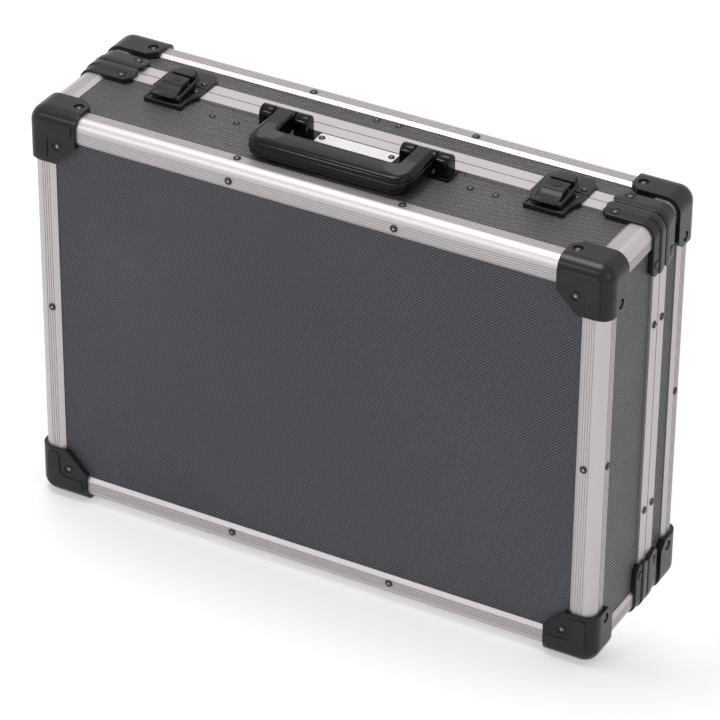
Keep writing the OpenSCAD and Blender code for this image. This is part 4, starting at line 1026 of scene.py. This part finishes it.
# The grip's arms are cut away under and behind the pivots, so that the grip can swing up
def handleGrip():
    v = handleValues
    reach = v["armX"] + v["armW"]
    side = v["armW"] / 2 + 2
    low, step, high = v["bottom"] - 2, v["pivotZ"] - v["earR"] + 0.2, v["pivotZ"] + 12
    front, back = v["pivotY"] - v["earR"] - 0.3, v["pivotY"] + 12
    box = [(front, low), (back, low), (back, high), (v["pivotY"], high), (v["pivotY"], step), (front, step)]
    cutters = [skin("armCut", [[(s * v["armX"] + t * side, y, z) for y, z in box] for t in (-1, 1)])
               for s in (-1, 1)]
    cutters.append(cylinderMesh("pinBore", (-reach, v["pivotY"], v["pivotZ"]), (1, 0, 0),
                                v["pinR"] + v["pinGap"], 2 * reach))
    parts = [(finished(gripBody(), cutters), None)] + armEnds()
    piece("handle_grip", parts, "handle", [handleGloss, handleSatin, handleTop], 32)


# Plate under the handle with its four upright ears
def handlePlate():
    v = handleValues
    half = v["plateL"] / 2
    low, high = v["plateY"] - v["plateW"] / 2, v["plateY"] + v["plateW"] / 2
    mount = rectangle(-half, low, half, high, 2.0, 6)
    parts = [(plateMesh("mount", mount, [], v["plateBottom"], v["plateTop"], 0.5), 0)]
    radius, foot = v["earR"], v["plateTop"] - 0.6
    shape = arc(v["pivotY"], v["pivotZ"], radius, 24)
    shape += [(v["pivotY"] - radius, foot), (v["pivotY"] + radius, foot)]
    apart = v["armW"] / 2 + v["earGap"] + v["earT"] / 2
    for middle in (v["armX"] - apart, v["armX"] + apart):
        ear = plateMesh("ear", shape, [], -v["earT"] / 2, v["earT"] / 2, 0.9, 4)
        parts += pair(upright(ear, middle))
    piece("handle_plate", parts, "base", [handleGloss], 32)


def labelPlate():
    v = handleValues
    half, wide = v["labelL"] / 2, v["labelW"] / 2
    plate = plateMesh("label", rectangle(-half, -wide, half, wide, 0.8, 4), [], v["plateTop"],
                      v["plateTop"] + v["labelT"], 0.15)
    plate.transform(Matrix.Translation((0, v["plateY"] / 1000, 0)))
    piece("label_plate", [(plate, 0)], "base", [plateMetal], 30)


handleGrip()
handlePlate()
labelPlate()
print("handle made")


# Bent sheet that follows a line in the YZ plane, with its own half width at each point
def sheetAlong(name, line, thickness, flare):
    rings = []
    for i, (y, z) in enumerate(line):
        before = line[max(i - 1, 0)]
        after = line[min(i + 1, len(line) - 1)]
        way = Vector((after[0] - before[0], after[1] - before[1])).normalized()
        down = Vector((way.y, -way.x))
        if down.y > 0:
            down = -down
        half, edge, burr = flare[i], 0.45, 0.15
        section = bothSides([(half - edge, 0), (half, edge), (half, thickness - burr),
                             (half - burr, thickness)])
        rings.append([(x, y + down.x * depth, z + down.y * depth) for x, depth in section])
    return skin(name, rings)


# Open line with its corners eased
def smoothLine(corners, radius, steps=6):
    line = [corners[0]]
    for i in range(1, len(corners) - 1):
        here = Vector(corners[i])
        before = Vector(corners[i - 1]) - here
        after = Vector(corners[i + 1]) - here
        reach = min(radius, before.length * 0.45, after.length * 0.45)
        start, end = here + before.normalized() * reach, here + after.normalized() * reach
        for k in range(steps + 1):
            t = k / steps
            p = start * (1 - t) ** 2 + here * 2 * t * (1 - t) + end * t ** 2
            line.append((p.x, p.y))
    line.append(corners[-1])
    return line


# Foot of a latch with its bead, runners, cheeks and strike
def latchPlate(side, x):
    v = latchValues
    far, near = v["farW"] / 2, v["nearW"] / 2
    y0, y1 = seamY - v["reach"], seamY - seamGap / 2
    outline = roundedOutline(bothSides([(far * 0.4, y0, 6), (far, y0, 1.6), (far - 0.6, y0 + 8, 8),
                                        (far + 1.2, y0 + 15, 8), (near, y0 + 20, 3), (near, y1, 0.6)]), 6)
    parts = [(plateMesh("latchFoot", outline, [], v["footBottom"], v["plateTop"], 0.7, 4), 0)]
    # Rolled bead round the front edge
    rim = v["bead"]
    front = [(-near + rim, y0 + 20.5), (-far - 1.2 + rim, y0 + 15), (-far + 0.6 + rim, y0 + 8),
             (-far + rim, y0 + 1.6), (-far + rim + 0.8, y0 + rim), (0, y0 + rim - 0.1)]
    front += [(-px, py) for px, py in reversed(front[:-1])]
    path = [(px, py, v["plateTop"] - 0.35) for px, py in smoothLine(front, 4.0, 5)]
    parts.append((tubeMesh("latchBead", path, rim, 12), 0))
    # Raised runner beside the bail on each side
    edge, inner, foot = near - 2.2, v["ribIn"], v["plateTop"] - 0.4
    rib = roundedOutline([(inner, y0 + 6, 0.6), (far - 1.0, y0 + 8, 2.0), (edge, y0 + 20, 2.5),
                          (edge, y1 - 0.8, 0.6), (inner, y1 - 0.8, 0.6)], 5)
    hole = circleOutline(v["rivetX"], v["rivetY"], 3.1, 24)
    parts += pair(plateMesh("latchRunner", rib, [hole], foot, v["plateTop"] + 0.5, 0.35))
    # Upright cheeks that carry the lever's pins
    cheek = arc(v["leverY"], v["leverZ"], v["cheekR"], 16, -0.3, math.pi + 0.6)
    cheek += [(v["leverY"] - v["cheekR"] + 0.4, foot), (v["leverY"] + v["cheekR"] - 0.4, foot)]
    parts += pair(upright(plateMesh("cheek", cheek, [], v["cheekIn"], v["cheekOut"], 0.2)))
    # Strike on one cheek, under which the cam turns
    box = rectangle(v["leverY"] - 2.0, v["strikeZ"], v["lockY"] + 1.6, v["strikeZ"] + v["strikeT"], 0.1, 2)
    parts.append((upright(plateMesh("strike", box, [], v["cheekIn"] - 1.6, v["cheekIn"] + 0.1, 0.1)), 0))
    piece(side + "_latch_plate", moved(parts, x), "base", [latchLacquer], 32)


def latchLever(side, x):
    v = latchValues
    top = v["leverTop"]
    line = smoothLine([(v["leverEnd"], top), (v["foldY"], top), (v["foldY"] - 1.6, top - 1.5),
                       (v["foldY"] - 5, top - 3.2), (v["bailY"] - 0.5, top - 4.2),
                       (v["tabEnd"] + 2.2, top - 3.7), (v["tabEnd"], top - 2.6)], 1.4)
    half = v["leverW"] / 2
    flare = [half + v["flare"] * smoothStep(v["foldY"] - y, 0, 14) for y, z in line]
    parts = [(sheetAlong("leverSheet", line, v["sheet"], flare), 0)]
    flange = [(v["leverEnd"], top - 0.5), (v["foldY"], top - 0.5), (v["foldY"] - 1.8, top - 2.2),
              (v["foldY"] - 5.2, top - 3.9), (v["bailY"], top - 4.9), (v["bailY"] - 2.4, top - 5.0),
              (v["bailY"] - 2.2, v["bailZ"] - 1.6), (v["bailY"], v["bailZ"] - 2),
              (v["leverY"], v["bailZ"] - 2), (v["leverEnd"], v["leverZ"] - 1.2)]
    hole = circleOutline(v["leverY"], v["leverZ"], v["pinR"] + v["pinGap"], 20)
    parts += pair(upright(plateMesh("leverFlange", flange, [hole], v["leverIn"], half - 0.02, 0.25)))
    # Raised collar round the lock
    collar = plateMesh("collar", circleOutline(0, 0, v["lockR"] + 1.0, 32),
                       [circleOutline(0, 0, v["lockR"] + 0.1, 32)], top - 0.3, top + 0.25, 0.15)
    collar.transform(Matrix.Translation((0, v["lockY"] / 1000, 0)))
    parts.append((collar, 0))
    # Bright ends of the bail's pins
    parts += pair(cylinderMesh("bailPin", (v["leverIn"], v["bailY"], v["bailZ"]), (1, 0, 0), v["pinR"] - 0.02,
                               v["turnR"] + v["bailR"] - v["leverIn"] - 0.2, 24), 1)
    piece(side + "_latch_lever", moved(parts, x), side + "_lever", [latchLacquer, pinSteel],
          32)


# Wire loop that rises towards the keeper, with an eye round each of its pins
def latchBail(side, x):
    v = latchValues
    run = v["bossMid"] - v["bailY"]
    rise = (v["bailFarZ"] - v["bailZ"]) / (run + v["turnR"])
    leg = [(-v["turnR"], v["bailY"] + 0.4 + (run - 0.4) * i / 8) for i in range(9)]
    path = leg + arc(0, v["bossMid"], v["turnR"], 24, math.pi, -math.pi)[1:-1]
    path += [(-px, py) for px, py in reversed(leg)]
    wire = [(px, py, v["bailZ"] + (py - v["bailY"]) * rise) for px, py in path]
    parts = [(tubeMesh("bailWire", wire, v["bailR"], 16), 0)]
    rim, bore = [circleOutline(v["bailY"], v["bailZ"], radius, steps)
                 for radius, steps in ((v["eyeR"], 28), (v["pinR"] + v["pinGap"], 24))]
    half = v["bailR"] - 0.2
    parts += pair(upright(plateMesh("bailEye", rim, [bore], -half, half, 0.3), v["turnR"]))
    piece(side + "_latch_bail", moved(parts, x), side + "_bail", [latchLacquer], 40)


# Keeper on the lid: foot, stem and the round boss that the bail hooks over
def latchKeeper(side, x):
    v = latchValues
    near, far = v["nearW"] / 2, v["farW"] / 2 - 2
    y0, y1 = seamY + seamGap / 2, seamY + v["keeper"]
    outline = roundedOutline(bothSides([(near, y0, 0.6), (near, y1 - 8, 5), (far + 0.5, y1, 4)]), 6)
    parts = [(plateMesh("keeperFoot", outline, [], v["footBottom"], v["plateTop"], 0.7, 4), 0)]
    radius, middle, front = v["bossR"], v["bossMid"], v["bossFront"]
    shape = [(-radius, front), (radius, front)] + arc(0, middle, radius, 24)
    parts.append((plateMesh("keeperBoss", shape, [], v["plateTop"] + 0.6, v["leverTop"], 0.6, 4), 0))
    stem = [(-radius + 0.3, y0 + 0.1), (radius - 0.3, y0 + 0.1)]
    stem += arc(0, y0 + 0.2, radius - 0.3, 24, tall=radius - 0.9)
    parts.append((plateMesh("keeperStem", stem, [], v["plateTop"] - 0.4, v["plateTop"] + 1.2, 0.1), 0))
    piece(side + "_latch_keeper", moved(parts, x), "lid", [latchLacquer], 32)


for side, x in (("left", -latchValues["x"]), ("right", latchValues["x"])):
    latchPlate(side, x)
    latchLever(side, x)
    latchBail(side, x)
    latchKeeper(side, x)
print("latches made")


# Soft lining of one shell: a padded block with moulded humps on its inner face
def foamLining(onBody):
    v = foamValues
    low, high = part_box(onBody + "_foam")
    x0, y0, z0 = [c * 1000 for c in low]
    x1, y1, z1 = [c * 1000 for c in high]
    face, wall, way = (y1, y0, 1) if onBody == "base" else (y0, y1, -1)
    countX, countZ = round((x1 - x0) / v["step"]), round((z1 - z0) / v["step"])

    def height(x, z):
        cell = abs(math.sin(math.pi * (x - x0) / v["cell"])) * abs(math.sin(math.pi * (z - z0) / v["cell"]))
        edge = min(x - x0, x1 - x, z - z0, z1 - z)
        rounded = 1 - smoothStep(edge, 0, v["edge"])
        return face - way * (v["hump"] * (1 - cell ** v["fullness"]) + v["round"] * rounded)

    points, faces = [], []
    for i in range(countX + 1):
        for j in range(countZ + 1):
            x, z = x0 + (x1 - x0) * i / countX, z0 + (z1 - z0) * j / countZ
            points.append((x, height(x, z), z))
    for i in range(countX):
        for j in range(countZ):
            a = i * (countZ + 1) + j
            faces.append((a, a + 1, a + countZ + 2, a + countZ + 1))
    rim = [i * (countZ + 1) for i in range(countX + 1)]
    rim += [countX * (countZ + 1) + j for j in range(1, countZ + 1)]
    rim += [i * (countZ + 1) + countZ for i in range(countX - 1, -1, -1)]
    rim += [j for j in range(countZ - 1, 0, -1)]
    start = len(points)
    for index in rim:
        points.append((points[index][0], wall + way * v["wallGap"], points[index][2]))
    count = len(rim)
    for i in range(count):
        faces.append((rim[i], rim[(i + 1) % count], start + (i + 1) % count, start + i))
    faces.append(tuple(range(start, start + count)))
    mesh = makeMesh("foam", points, faces)
    fixNormals(mesh)
    holder = piece(onBody + "_foam", [(mesh, 0)], onBody, [foamFabric], 50)


foamLining("base")
foamLining("lid")
print("linings made")


# Materials of the construction pieces that stay as they are: the first word found in a node's name decides
looks = (("rivet", rivetMetal), ("top_panel", topLaminate), ("bottom_panel", topLaminate),
         ("left_panel", sideLaminate), ("right_panel", sideLaminate), ("panel", frontLaminate),
         ("depth_profile", deepProfile), ("left_profile", highProfile), ("right_profile", highProfile),
         ("profile", longProfile), ("seam_frame", seamProfile), ("lock", lockMetal), ("pins", zincSteel),
         ("hinge", zincSteel), ("stay", zincSteel), ("backing", zincSteel))


def dress(thing, material):
    thing.data.materials.clear()
    thing.data.materials.append(material)
    if material == lockMetal:
        soften(thing, latchValues["lockEdge"], 2, 35)


for node in nodes:
    for word, material in looks:
        if word in node:
            dress(nodes[node], material)
            break
print("construction pieces dressed")
